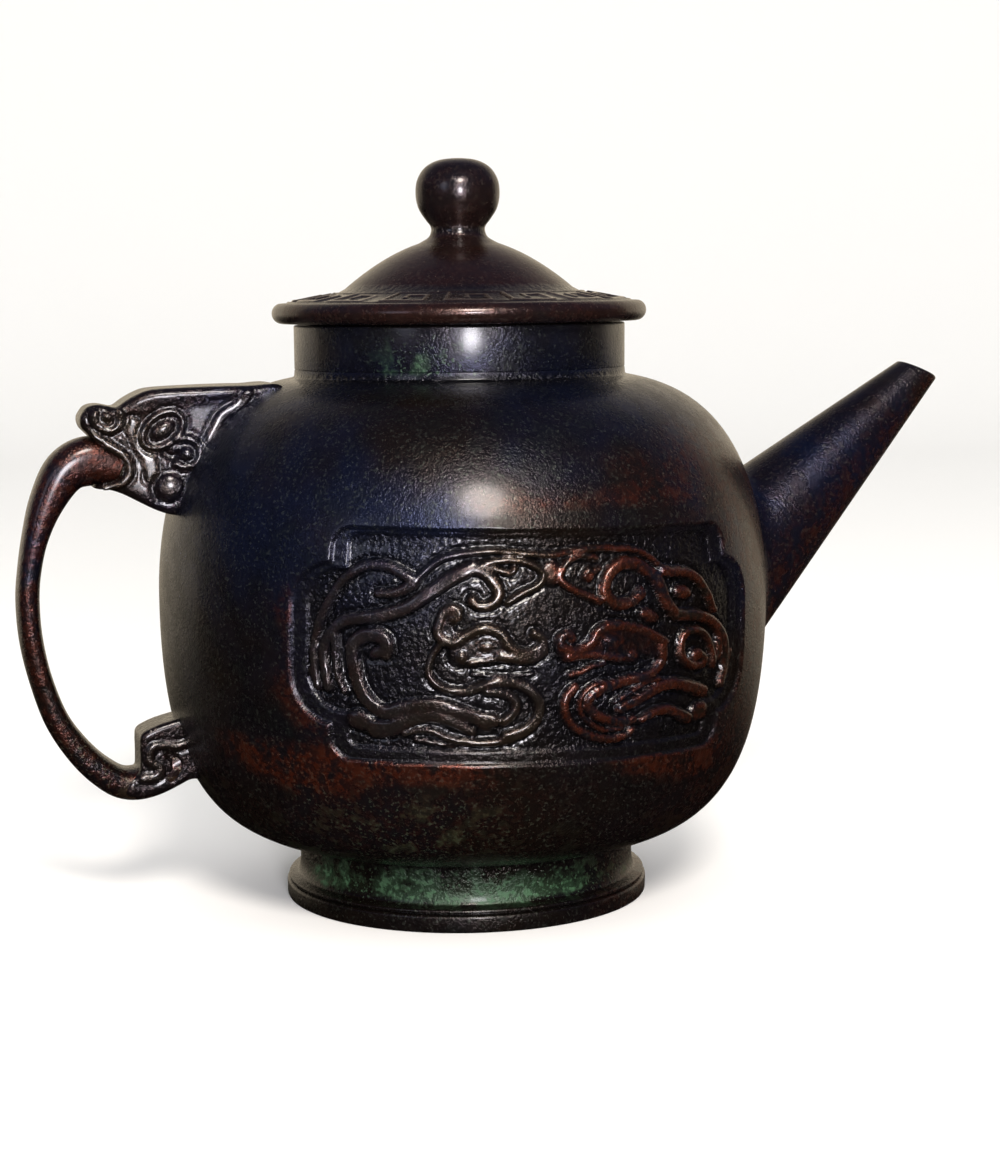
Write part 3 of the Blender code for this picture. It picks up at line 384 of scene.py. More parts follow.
rightBalls = [(-32.9, 10, 3, 1.6, 12), (-23.1, 5.8, 3, 1.5, 20), (-37.9, -3.6, 2.0, 1.5, 0), (-41, -16, 3.4, 2.2, 0),
              (-13.3, 1.2, 2.2, .9, 10), (-18.75, -2.2, 1.8, 1.2, 0), (-20.8, 10.4, 1.3, 1.3, 0),
              (-8.2, 15.6, .9, .9, 0)]


# The solid heads that the finer lines stand on, as outlines
leftMass = [(-24.2, 4), (-22.5, 6.5), (-20.3, 7), (-19.8, 4.2), (-17.5, 4), (-14.2, 4.9), (-10.6, 4), (-8.6, .9),
            (-5.5, -.1), (-1.6, 1.6), (-1.3, -.6), (-3.8, -2.4), (-8.3, -2.6), (-11.5, -2.9), (-15.5, -3.4),
            (-19.5, -3.6), (-21.5, -2), (-21.6, 1)]
rightMass = [(-27.6, .6), (-24.8, 2.3), (-21.7, 3.8), (-17.5, 4.8), (-13, 4.9), (-9.6, 3.4), (-8.2, .8), (-4.6, .2),
             (-1.4, 1.2), (-1.2, -1.6), (-4.8, -2.6), (-10, -2.6), (-14, -3.4), (-19.6, -4), (-21.6, -2.4),
             (-24.4, -3.6), (-26.6, -2.4)]


# Distance inside a rounded box, positive within it
def boxInside(u, v, halfWidth, halfHeight, corner):
    du, dv = np.abs(u) - halfWidth + corner, np.abs(v) - halfHeight + corner
    return corner - np.hypot(np.maximum(du, 0), np.maximum(dv, 0)) - np.minimum(np.maximum(du, dv), 0)


# The greater of the distances inside the tall and the wide box, each made smaller by the frame where asked
def outlineInside(u, v, share=0.0):
    side, edge = panel["frameSide"] * share, panel["frameEdge"] * share
    inside = [boxInside(u, v, w - side, h - edge, max(c - edge, 0.8)) for w, h, c in (panel["tall"], panel["wide"])]
    return np.maximum(*inside)


# Rise of one dragon over the ground, as a share of the full rise, and the distance to its nearest edge: the
# greatest of its bands, its head as a low solid, and its balls, sqrt(1.12 - reach^2)
def dragonRise(points, strokes, balls, mass):
    rise, edge = ribs(points, broadened(strokes), 0.45, 0.7)
    solid = insideDistance(points, smoothCurve(np.array(mass + mass[:1], float), 4)[:-1])
    rise = np.maximum(rise, softStep(-0.25, 0.7, solid) * panel["mass"] / panel["rise"]
                      + 0.18 * softStep(-0.2, 0.3, solid) * rise)
    edge = np.minimum(edge, -solid)
    for ball in balls:
        reach = ellipseReach(points, ball)
        rise = np.maximum(rise, np.sqrt(np.clip(1.12 - reach ** 2, 0, 1)) * panel["balls"] / panel["rise"])
        edge = np.minimum(edge, (reach - 1) * min(ball[2:4]))
    return rise, edge


# How deep the panel lies below the belly at points (along, z) of the unrolled belt, and its patina there:
# depth = first step + bevel + second step - carving + trenches beside the strokes
def panelDepth(along, z, dragons, redSides):
    up, c, s = z - panel["z"], cos(panel["tilt"]), sin(panel["tilt"])
    u, v = along * c + up * s, up * c - along * s
    outer, inner = outlineInside(u, v), outlineInside(u, v - panel["lift"], 1.0)
    ticks, tickForm = panel["ticks"]
    wear, wearForm = panel["wear"]
    lumps, lumpForm = panel["lumps"]
    onFrame = softStep(0.2, 0.9, outer) * (1 - softStep(-0.5, 0.1, inner))
    secondStep = panel["ground"] - panel["firstStep"] - panel["bevel"]
    depth = (panel["firstStep"] * softStep(-0.1, 0.4, outer) + panel["bevel"] * softStep(0.4, 4.0, outer)
             + ticks * (1 + handWaves(v, u, *tickForm)) * onFrame + secondStep * softStep(-0.25, 0.25, inner))
    rise, edge, red = np.zeros(len(u)), np.full(len(u), farAway), np.zeros(len(u))
    for side, dragon, reddish in zip((-1, 1), dragons, redSides):
        found, gap = dragonRise(np.stack([u * -side, v], 1), *dragon)
        rise, edge = np.maximum(rise, found), np.minimum(edge, gap)
        red = np.maximum(red, reddish * softStep(-2.5, 2.5, u * side))
    carved = softStep(-0.5, 0.6, inner)
    worn = 1 - wear + wear * handWaves(u, v, *wearForm)
    trench = panel["trench"] * softStep(1.2, 0.3, edge) * softStep(-0.2, 0.2, edge)
    ground = lumps * handWaves(u, v, *lumpForm) * (1 - np.clip(rise, 0, 1))
    depth += carved * (ground + trench - panel["rise"] * rise * worn)
    # Patina: red-brown on the red dragon's bands, dirt and painted shade on the sunk ground, darkest beside the edges
    # of the bands, and rubbed crowns
    patina = np.stack([np.zeros(len(u)), red * softStep(0.25, 0.75, rise),
                       softStep(0.85, 0.35, rise) * (0.6 + 0.4 * softStep(1.6, 0.2, edge)),
                       softStep(0.62, 0.98, rise)], 1) * carved[:, None]
    return depth, patina


# Angle round the vessel from one turn to another, between -pi and pi
def turnFrom(start, turn):
    return (turn - start + pi) % (2 * pi) - pi


# Slow waves of patina on the plain surface, in the order verdigris, red-brown, dirt and painted shade, rubbed:
# # verdigris on the foot, low on the belly and on the neck, red-brown towards the spout and in blots, painted shade
# # where the foot and the neck join the belly
def plainPatina(turn, z):
    mottle = 0.5 + 0.3 * np.sin(2.3 * turn + z / 9) + 0.2 * np.sin(5.1 * turn - z / 6 + 2)
    front = softStep(0.9, 0.2, np.abs(turnFrom(-0.25, turn)))
    onFoot = softStep(15, 11, z) * softStep(4.5, 7, z) * (0.2 + 0.5 * mottle + 0.35 * front) + 0.04
    onBelly = softStep(52, 24, z) * softStep(10, 20, z) * 0.28 * mottle
    onNeck = 0.5 * softStep(0.45, 0.1, np.abs(turnFrom(-0.5, turn))) * softStep(5.5, 2, np.abs(z - 123))
    red = (softStep(46, 34, z) * softStep(12, 26, z) * 0.25 * mottle
           + 0.5 * softStep(0.25, 1.0, np.sin(turn)) * softStep(118, 96, z))
    for at, level, wide, tall, strength in vessel["blots"]:
        reach = np.hypot(turnFrom(at, turn) / wide, (z - level) / tall) + 0.25 * np.sin(9 * turn + z / 3)
        red = np.maximum(red, strength * softStep(1.15, 0.35, reach))
    # Painted shade in the joins of the foot and of the neck with the belly
    dirtAndShade = np.maximum(softStep(2.2, 0.4, np.abs(z - 14.6)), softStep(1.6, 0.3, np.abs(z - 118.3)))
    rubbed = 0.7 * softStep(1.2, 0.3, np.abs(z - vessel["rim"] + 0.33))
    return np.stack([np.maximum(np.maximum(onFoot, onBelly), onNeck), red, dirtAndShade, rubbed], 1)


# A turned zone: rings along a profile (r, z), closed at its first or last ring by a pole, and the indices of both
def turnedZone(profile, turns, poleZ, poleFirst):
    radius, z = profile[:, :1], profile[:, 1:]
    waves = castWaves(turns[None], z) * softStep(13, 20, z) * softStep(26, 34, radius)
    points = turnedPoints(turns[None], radius + waves, z).reshape(-1, 3)
    count, rows = len(turns), len(profile)
    rings = [np.arange(count), np.arange(count) + (rows - 1) * count]
    ring = rings[0 if poleFirst else 1]
    sides = [np.roll(ring, -1), ring] if poleFirst else [ring, np.roll(ring, -1)]
    fan = np.stack(sides + [np.full(count, rows * count)], 1)
    patina = plainPatina(np.tile(turns, rows), np.repeat(profile[:, 1], count))
    return {"points": np.vstack([points, [[axisX, 0, poleZ]]]), "faces": [gridFaces(rows, count, True), fan],
            "patina": np.vstack([patina, np.zeros((1, 4))]), "low": rings[0], "high": rings[1]}


def buildVessel():
    # Where the four grids of the belt lie round the vessel: the front panel, the right side, the back, the left
    half = vessel["panelHalf"] / vessel["radius"]
    beside = half + vessel["seam"]
    sectors = [(-half, half, panel["frontGrid"]), (beside, pi - beside, panel["sideGrid"]),
               (pi - half, pi + half, panel["backGrid"]), (pi + beside, 2 * pi - beside, panel["sideGrid"])]
    plainer = (leftDragon[:4] + leftDragon[6:8] + leftDragon[9:], leftBalls[1:], leftMass)
    # The dragons of each sector that holds a panel, and how red each is
    carving = {0: (((leftDragon, leftBalls, leftMass), (rightDragon, rightBalls, rightMass)), (0.12, 1.0)),
               2: ((plainer, plainer), (0.4, 0.3))}
    grids, first = [], 0
    for place, (start, end, (columns, rows)) in enumerate(sectors):
        turn = np.tile(np.linspace(start, end, columns), rows)
        z = np.repeat(np.linspace(vessel["zoneLow"], vessel["zoneHigh"], rows), columns)
        radius = bellyRadius(z) + castWaves(turn, z)
        patina = plainPatina(turn, z)
        if place in carving:
            depth, carved = panelDepth(vessel["radius"] * (turn - (start + end) / 2), z, *carving[place])
            radius = radius - depth
            patina = np.maximum(patina * (depth < 0.3)[:, None], carved)
        grids.append({"points": turnedPoints(turn, radius, z), "patina": patina,
                      "faces": gridFaces(rows, columns, False, first),
                      "index": first + np.arange(rows * columns).reshape(rows, columns),
                      "turns": np.linspace(start, end, columns), "rows": np.linspace(0, 1, rows)})
        first += rows * columns
    seams = [sewnFaces(right["index"][:, 0], right["rows"], left["index"][:, -1], left["rows"])
             for left, right in zip(grids, grids[1:] + grids[:1])]
    belt = {"points": np.vstack([g["points"] for g in grids]), "faces": [g["faces"] for g in grids] + seams,
            "patina": np.vstack([g["patina"] for g in grids])}

    # Below the belt: the recess under the foot, the foot ring and the underside of the belly
    footTop = bottomLevel(vessel["waist"])
    belly = bellyLine(footTop, vessel["zoneLow"], vessel["undersideRows"])
    belly = belly[(belly[:, 1] < vessel["zoneLow"] - 0.5) & (belly[:, 0] > 39.4)]
    lower = np.vstack([roundedLine(vessel["foot"]), [(38.3, footTop - 0.35), (38.75, footTop + 0.02)], belly])
    turns = np.linspace(-half, 2 * pi - half, vessel["columns"], endpoint=False)
    bottom = turnedZone(lower, turns, vessel["recessTop"], True)

    # Above the belt: the shoulder, the neck with a fine line at its foot, the rim, and the hollow inside
    rim, wall, neck, inside = (vessel[key] for key in ("rim", "wall", "neck", "neckInside"))
    neckFoot = shoulderLevel(neck)
    shoulder = bellyLine(vessel["zoneHigh"], shoulderLevel(vessel["waist"]), vessel["shoulderRows"])[1:]
    collar = roundedLine([(neck + 0.55, neckFoot - 0.15, 0), (neck + 0.1, neckFoot + 0.25, 0.2),
                          (neck, neckFoot + 1.6, 0.2), (neck - 0.15, neckFoot + 1.75, 0.1),
                          (neck, neckFoot + 1.9, 0.1), (neck + 0.05, rim, 0.5), (inside, rim, 0.6),
                          (inside, shoulderLevel(inside, wall), 0)], 4)
    hollow = bellyLine(shoulderLevel(inside + 0.2, wall), bottomLevel(8, wall), vessel["hollowRows"], wall)
    floorInside = vessel["widest"] - vessel["bellyDrop"] + wall
    top = turnedZone(np.vstack([shoulder, collar, hollow]), turns, floorInside, False)

    whole = joinedShells([belt, bottom, top])
    bottomFirst, topFirst = first, first + len(bottom["points"])
    ringLow, ringHigh = (np.concatenate([g["index"][row] for g in grids]) for row in (0, -1))
    ringTurns = around(np.concatenate([g["turns"] for g in grids]), 2 * pi)
    turns = around(turns, 2 * pi)
    whole["faces"] += [sewnFaces(around(bottom["high"] + bottomFirst), turns, around(ringLow), ringTurns),
                       sewnFaces(around(ringHigh), ringTurns, around(top["low"] + topFirst), turns)]
    return shell(whole["points"], whole["faces"], whole["patina"])


vesselShell = buildVessel()
print("vessel:", sum(len(g) * (g.shape[1] - 2) for g in vesselShell["faces"]), "triangles")


# Spout: a straight cone cut aslant at the tip, bored, growing out of the belly with a soft fillet. Its points
# are (distance from the axis, z)
spout = {
    "apex": (132.6, 133.8), "slope": radians(41.6), "halfAngle": radians(10.4),
    "tipHigh": (109.5, 119.2), "tipLow": (118.0, 115.1), "wall": 1.5, "tipRound": 0.5,
    "fillet": 6.0, "filletOut": 5.0, "columns": 56, "rows": 24, "filletRows": 8,
    "search": (40.0, 125.0),         # the belly lies between these lengths from the apex
    "boreDepth": 4.0, "boreRows": 10, "sunk": 0.9, "darkBandAt": 97,
}


# Each generator runs from the apex towards the belly: P = apex + L (-axis cos h + side sin h); the tip is where it
# meets the slanting cut and the root where it meets the belly, found by halving
def buildSpout():
    item, h, wall, r = spout, spout["halfAngle"], spout["wall"], spout["tipRound"]
    turns = np.linspace(0, 2 * pi, item["columns"], endpoint=False)
    c, s = cos(item["slope"]), sin(item["slope"])
    side = np.cos(turns)[:, None] * [-s, 0, c] + np.sin(turns)[:, None] * [0, 1, 0]
    run = side * sin(h) - np.array([c, 0, s]) * cos(h)
    apex, high, low = (np.array([x, 0, z]) for x, z in (item["apex"], item["tipHigh"], item["tipLow"]))
    cut = np.array([high[2] - low[2], 0, low[0] - high[0]])
    tip = ((high - apex) @ cut) / (run @ cut)
    near, far = (np.full(len(turns), length) for length in item["search"])
    for halving in range(30):
        middle = (near + far) / 2
        p = apex + run * middle[:, None]
        outside = np.hypot(p[:, 0], p[:, 1]) > bellyRadius(p[:, 2])
        near, far = np.where(outside, middle, near), np.where(outside, far, middle)

    # Points at a length on each generator, set in from the cone
    def at(length, inset=0.0):
        return apex + run * length[:, None] - side * inset

    # Where the generators meet the belly, and where the fillet ends on it
    q = at(near)
    slope = (bellyRadius(q[:, 2] + 0.01) - bellyRadius(q[:, 2] - 0.01)) / 0.02
    normal = unit(np.column_stack([q[:, :2] / np.hypot(q[:, 0], q[:, 1])[:, None], -slope]))
    foot = q + unit(side - (side * normal).sum(1)[:, None] * normal) * item["filletOut"]
    foot[:, :2] *= (bellyRadius(foot[:, 2]) / np.hypot(foot[:, 0], foot[:, 1]))[:, None]
    # Rings from the bore's inner end over the rounded tip and down the outside to just below the belly's surface
    start, end = near - item["fillet"], near + item["boreDepth"]
    rings = [at(end, wall)] + [at(end + (tip - end) * t, wall) for t in np.linspace(0.12, 0.99, item["boreRows"])]
    rings += [at(tip + r * (1 - sin(a)), wall - r * (1 - cos(a))) for a in np.linspace(0, pi / 2, 4)]
    rings += [at(tip + r * (1 - sin(a)), r * (1 - cos(a))) for a in np.linspace(pi / 2, 0, 4)]
    rings += [at(tip + r + (start - tip - r) * t) for t in np.linspace(0.03, 1, item["rows"])]
    rings += [bentLine(at(start), q, foot, t) for t in np.linspace(0, 1, item["filletRows"] + 1)[1:]]
    points = np.array(rings + [foot - normal * item["sunk"]])
    rows, columns = points.shape[:2]
    first = np.arange(columns)
    last = (rows - 1) * columns + first
    closing = np.stack([last, np.roll(last, -1), np.roll(first, -1), first], 1)
    under = np.tile(softStep(0.35, -0.9, np.cos(turns)), rows)
    fromTip = np.linalg.norm(points - high, axis=2).ravel()
    # Patina: verdigris and red-brown on the underside, a darker band 97 mm from the tip, painted shade all through
    # the bore, and a rubbed tip
    patina = np.column_stack([
        0.05 * under, 0.06 + 0.5 * under,
        softStep(9, 1, np.abs(fromTip - item["darkBandAt"])) * 0.3, softStep(3.2, 0.3, fromTip / 6) * 0.8])
    patina[:(item["boreRows"] + 2) * columns, 2] = 1
    faces = np.vstack([gridFaces(rows, columns, True), closing])
    return shell(points.reshape(-1, 3) + [axisX, 0, 0], [faces], patina)


spoutShell = buildSpout()
print("spout built")

# Handle: a strap that comes out of a beast's mouth and returns to the belly at a scrolled hook. Its points are
# (distance from the axis towards -x, z), given as negative x
handle = {
    "width": 11.2, "thickness": 5.0, "columns": 32, "steps": 7, "power": 2.7,
    # x, z and share of the thickness along the strap
    "path": [(-77.3, 99.9, 1.4), (-79.5, 100.7, 1.8), (-84, 101.5, 2.15), (-89.1, 99.1, 1.9), (-93.2, 92.5, 1.48),
             (-95.9, 85.2, 1.12), (-97.4, 78.2, 1), (-98, 71.5, 1), (-97.5, 63, 1), (-95.7, 54, 1),
             (-92.6, 44.9, 1.08), (-88.1, 37.8, 1.2), (-83.4, 32.9, 1.3), (-78.4, 30, 1.4), (-72.5, 30.6, 1.55),
             (-64.5, 34.6, 1.7), (-60, 37, 1.6)],
    "voxel": 0.47,           # grain of the joined head and hook
    "headEdge": 1.7, "hookEdge": 1.1, "hookHalfWidth": 5.9,
    "headWidth": [(-90, 5.3), (-85.8, 5.7), (-80, 6.4), (-74, 7.2), (-66, 8.0), (-58, 8.8), (-48, 9.6), (-40, 9.8)],
    "head": [(-85.6, 108.7), (-86, 110.2), (-85.8, 111.4), (-84.3, 113.3), (-82, 113.8), (-80, 113.5), (-78.1, 113.2),
             (-76, 114.6), (-73.5, 115.9), (-70.8, 116.8), (-66, 117.1), (-58, 117.3), (-50, 117.3), (-42, 116.8),
             (-45, 108), (-55, 97), (-60, 91.5), (-64, 89.6), (-67, 89.6), (-70.3, 90.7), (-74, 92.6), (-77.2, 94.3),
             (-80, 95.3), (-82.4, 95.5), (-83.4, 96), (-81.2, 96.9), (-78.8, 97.5), (-77.2, 98.9), (-76.9, 100.4),
             (-77.7, 101.9), (-79.6, 103.5), (-81.8, 105), (-83.6, 106.7)],
    "hook": [(-75.3, 33), (-75.2, 36.5), (-75.2, 39.5), (-74.8, 41.4), (-72.5, 42.7), (-69.5, 43.7), (-65, 44.6),
             (-61, 44), (-58, 38), (-58, 32.5), (-61.5, 30.6), (-64.2, 30.6), (-68.8, 28.9), (-72.9, 27.6),
             (-76.7, 27.3), (-79, 28.6), (-78, 31)],
}


# An ellipse as a closed stroke
def ringStroke(width, middle, a, b, turn, count=14):
    t = np.linspace(0, 2 * pi, count)
    c, s = cos(radians(turn)), sin(radians(turn))
    x, y = a * np.cos(t), b * np.sin(t)
    return stroke(width, *zip(middle[0] + x * c - y * s, middle[1] + x * s + y * c))


# What stands out from the sides of the head and the hook (height in mm, strokes or balls), and what is cut in
headRaised = [
    (0.6, [ringStroke(1.3, (-68.6, 108.1), 4.9, 3.2, 38)]),
    (0.75, [stroke(1.9, (-65.6, 106.2), (-63.3, 106.2), (-61.5, 105.1), (-60.9, 103.2), (-61.6, 101.1), (-63.9, 100),
                   (-66, 100.7), end=1.5)]),
    (0.75, [stroke(2.0, (-83.0, 111.6), (-82.7, 109.9), (-81.4, 108.7), (-79.6, 108.3), (-77.9, 109.2),
                   (-77.3, 111.1), (-78.2, 113), end=1.6)]),
    (0.4, [stroke(2.2, (-50.2, 115.6), (-52.6, 112.9), (-55.8, 111), (-58, 107.3), (-59.9, 104), (-61.4, 100.6),
                  (-63, 95.9), (-65, 91.3), end=1.8)]),
    (0.5, [stroke(2.4, (-83.8, 107.4), (-81.8, 105.9), (-79.4, 104.4), (-77, 102.6), (-75.9, 100.4), (-76.4, 98),
                  (-78.6, 96.4), (-81.6, 95.6), end=1.6)]),
    (0.14, [stroke(3.4, (-75.2, 109.4), (-73.4, 105.2), (-71.6, 101.6), (-71.2, 98.2), end=3.0)]),
]
headBalls = [(-68.7, 108.1, 2.9, 1.7, 33, 0.9), (-63.6, 102.7, 1.7, 1.6, 0, 0.9), (-80.3, 110.6, 1.9, 1.6, 0, 0.7),
             (-67.4, 95.7, 3.1, 3.0, 0, 1.0)]
headCut = [
    (0.7, [stroke(1.9, (-68.2, 103.2), (-67, 102.4), (-66, 102.6))]),
    (0.4, [stroke(1.2, (-70.4, 97.8), (-71.2, 95.4), (-70.2, 93))]),
]
hookRaised = [
    (0.5, [stroke(1.7, (-73.2, 37.4), (-72.6, 38.5), (-70.7, 38.8), (-67.4, 38.4), (-65.5, 38.8)),
           stroke(1.9, (-73.2, 37.4), (-73.3, 35.5), (-71.8, 34.3), (-70.9, 33), (-72.3, 31.8), (-75, 31.7))]),
]
hookCut = [(0.7, [stroke(1.8, (-68.8, 36.6), (-67.6, 35.2), (-67.4, 33), (-68.6, 31.4))])]


# A closed strap: superellipse sections |a|^p + |b|^p = 1 across the path, the ends closed to a point
def buildStrap():
    item = handle
    path = smoothCurve(item["path"], item["steps"])
    tangent = unit(np.gradient(path[:, :2], axis=0))
    t = np.linspace(0, 2 * pi, item["columns"], endpoint=False)
    across, thick = (np.sign(f(t)) * np.abs(f(t)) ** (2 / item["power"]) for f in (np.cos, np.sin))
    half = path[:, 2:] * item["thickness"] / 2
    places, ends = np.arange(len(path)), [0, 16, len(path) - 25, len(path)]
    width = item["width"] / 2 * np.interp(places, ends, [0.98, 1, 1, 1.04])
    drift = 0.05 * np.sin(places[:, None] / 5 + 3 * t[None])
    out = thick * (half + drift)
    grid = np.stack([path[:, :1] - tangent[:, 1:] * out + axisX, across * (width[:, None] + drift),
                     path[:, 1:2] + tangent[:, :1] * out], -1)
    rows, columns = grid.shape[:2]
    points = np.vstack([grid.reshape(-1, 3), grid[[0, -1]].mean(1)])
    first, pole = np.arange(columns), np.full(columns, rows * columns)
    last = (rows - 1) * columns + first
    caps = np.vstack([np.stack([np.roll(first, -1), first, pole], 1),
                      np.stack([last, np.roll(last, -1), pole + 1], 1)])
    edges = np.tile(softStep(0.55, 0.95, np.abs(across)) * softStep(0.3, 0.9, np.abs(thick)), rows)
    patina = np.column_stack([np.repeat(0.25 * softStep(55, 35, path[:, 1]), columns),
                              np.full(rows * columns, 0.6), np.full(rows * columns, 0.45), 0.2 * edges])
    return shell(points, [gridFaces(rows, columns, True), caps], np.vstack([patina, np.zeros((2, 4))]))


# A slab with rounded edges: the outline in x and z, its half width at each x, and layers across y set in by
# edge (1 - cos a) as y rises by edge sin a
def slab(outline, halfWidth, edge):
    line = smoothCurve(np.vstack([outline, outline[:1]]), 5)[:-1]
    run = unit(np.roll(line, -1, axis=0) - np.roll(line, 1, axis=0))
    turning = (line[:, 0] * np.roll(line[:, 1], -1) - line[:, 1] * np.roll(line[:, 0], -1)).sum()
    inward = np.stack([-run[:, 1], run[:, 0]], 1) * np.sign(turning)
    angles = np.radians([90, 65, 40, 20, 0])
    rows = []
    for side, a in [(-1, a) for a in angles] + [(1, a) for a in angles[::-1]]:
        flat = line + inward * edge * (1 - cos(a))
        y = side * (halfWidth(line[:, 0]) - edge * (1 - sin(a)))
        rows.append(np.stack([flat[:, 0] + axisX, y, flat[:, 1]], 1))
    first = np.arange(len(line))
    last = first + (len(rows) - 1) * len(line)
    return np.vstack(rows), [gridFaces(len(rows), len(line), True), [first[::-1]], [last]]


# A closed form given an even skin by a voxel remesh and smoothed a little, as points, triangles and normals
def evenSkin(points, groups, voxel):
    mesh = bpy.data.meshes.new("skin")
    mesh.from_pydata(points.tolist(), [], [np.array(face).tolist() for group in groups for face in group])
    piece = placed("skin", mesh)
    remesh = piece.modifiers.new("join", "REMESH")
    remesh.mode, remesh.voxel_size = "VOXEL", voxel
    smooth = piece.modifiers.new("smooth", "SMOOTH")
    smooth.factor, smooth.iterations = 0.5, 3
    result = evaluated(piece)
    bpy.data.objects.remove(piece)
    bpy.data.meshes.remove(mesh)
    return result


# How far a set of raised and cut forms lifts a point of a side (x, z), and the shares of ridge and groove there
def stampedHeight(points, raised, balls, cut):
    lift, ridge, groove = np.zeros((3, len(points)))
    for height, strokes in raised:
        rise, gap = ribs(points, strokes, 0.7, 0.45)
        lift, ridge = np.maximum(lift, rise * height), np.maximum(ridge, softStep(0.5, 0.95, rise))
        groove = np.maximum(groove, softStep(1.4, 0.2, gap) * softStep(-0.1, 0.3, gap))
    for *ball, height in balls:
        reach = ellipseReach(points, ball)
        bulge = np.sqrt(np.clip(1 - reach ** 2, 0, 1))
        lift, ridge = np.maximum(lift, bulge * height), np.maximum(ridge, softStep(0.6, 0.95, bulge))
        groove = np.maximum(groove, softStep(1.35, 1.1, reach) * (bulge == 0))
    for depth, strokes in cut:
        rise, gap = ribs(points, strokes, 0.9, 0.4)
        lift, groove = lift - rise * depth, np.maximum(groove, rise)
        ridge = ridge * (1 - np.clip(rise, 0, 1))
    return lift - 0.25 * groove, ridge, groove


def buildHeadAndHook():
    item = handle
    head = slab(np.array(item["head"], float), lambda x: np.interp(x, *zip(*item["headWidth"])), item["headEdge"])
    hook = slab(np.array(item["hook"], float), lambda x: item["hookHalfWidth"] + np.zeros(len(x)), item["hookEdge"])
    shells = []
    for part, forms in ((head, (headRaised, headBalls, headCut)), (hook, (hookRaised, [], hookCut))):
        points, faces, normals = evenSkin(*part, item["voxel"])
        lift, ridge, groove = stampedHeight(points[:, [0, 2]] - [axisX, 0], *forms)
        sideways = np.abs(normals[:, 1])
        facing = softStep(0.25, 0.8, sideways)
        points[:, 1] += np.sign(points[:, 1]) * lift * facing
        # Patina: a little verdigris in the grooves, some red-brown, an even dark tone with painted shade added in the
        # grooves of the sides, and rubbed ridges and edges
        patina = np.column_stack([0.05 * groove, np.full(len(points), 0.12), 0.4 + 0.3 * groove * facing,
                                  np.maximum(0.7 * ridge * facing, 0.3 * softStep(0.95, 0.6, sideways))])
        shells.append(shell(points, [faces], patina))
    return shells


headShell, hookShell = buildHeadAndHook()
strapShell = buildStrap()
print("handle built:", len(headShell["faces"][0]), len(hookShell["faces"][0]), "triangles in the head and the hook")
ewerBody = meshPiece("ewerBody", joinedShells([vesselShell, spoutShell, strapShell, headShell, hookShell]))

# Lid: a ball knob on a short stem, a dome, and a flange with a fret band that rests on the neck's rim
lid = {
    "rimMiddle": (39.8, 132.55), "rimRound": 2.3, "rimTop": (39.6, 134.82),
    "domeRadius": 26.2, "domeFoot": 137.3, "domeRise": 12.0, "domeBend": 1.9, "top": 166.6,
    "wall": 2.5, "thicker": 1.2,
    # The collar and the flange's underside as (r, z, rounding)
    "collar": [(26.5, 134.4, 0), (30.9, 133.2, 1.2), (31.2, 124.8, 0.5), (33.7, 124.8, 0.5), (33.7, 130.23, 0.4),
               (38.8, 130.23, 0)],
    # Stem and knob as (r, z), from the dome up
    "knob": [(8.3, 148.1), (6.7, 149.1), (6.08, 150.4), (6.2, 151.6), (7.18, 152.9), (8.63, 155.1), (9.3, 157.3),
             (9.42, 159.6), (9.06, 161.8), (7.83, 164), (6.1, 165.4), (3.9, 166.25), (1.6, 166.55)],
    "columns": 96, "flangeSlope": 0.185,
    # The fret: its rings from outside to inside, how often its key repeats and over how many mm, and its lines
    "fretRings": (38.9, 27.4), "fretGrid": (700, 54), "fretUnits": 16, "unitLength": 12.96,
    "fretWidth": 1.05, "fretHeight": 0.5, "fretGround": 0.2, "borders": (28.1, 38.4), "borderHalf": 0.28,
    # One hooked key of the fret, in mm along and across the band from a place (along, r)
    "key": [(0.2, 1.4), (0.2, 9.2), (8.6, 9.2), (8.6, 3.4), (4.2, 3.4), (4.2, 6.2)], "keyFrom": (1.6, 27.9),
}


# Level of the dome at a radius: foot + rise (1 - share^bend)
def domeLevel(radius, inset=0.0):
    share = np.clip(radius / (lid["domeRadius"] - inset), 0, 1)
    return lid["domeFoot"] + (lid["domeRise"] - inset) * (1 - share ** lid["domeBend"])


# Patina of the plain parts of the lid: red-brown towards the rim, painted shade round the feet of the dome and
# # of the knob
def lidPatina(z):
    none = np.zeros(len(z))
    red = 0.12 * softStep(130, 133, z) * softStep(138, 134, z) + 0.15
    dirtAndShade = np.maximum(softStep(1.5, 0.3, np.abs(z - lid["domeFoot"])), softStep(1.3, 0.2, np.abs(z - 150.6)))
    return np.stack([none, red, dirtAndShade, none], 1)


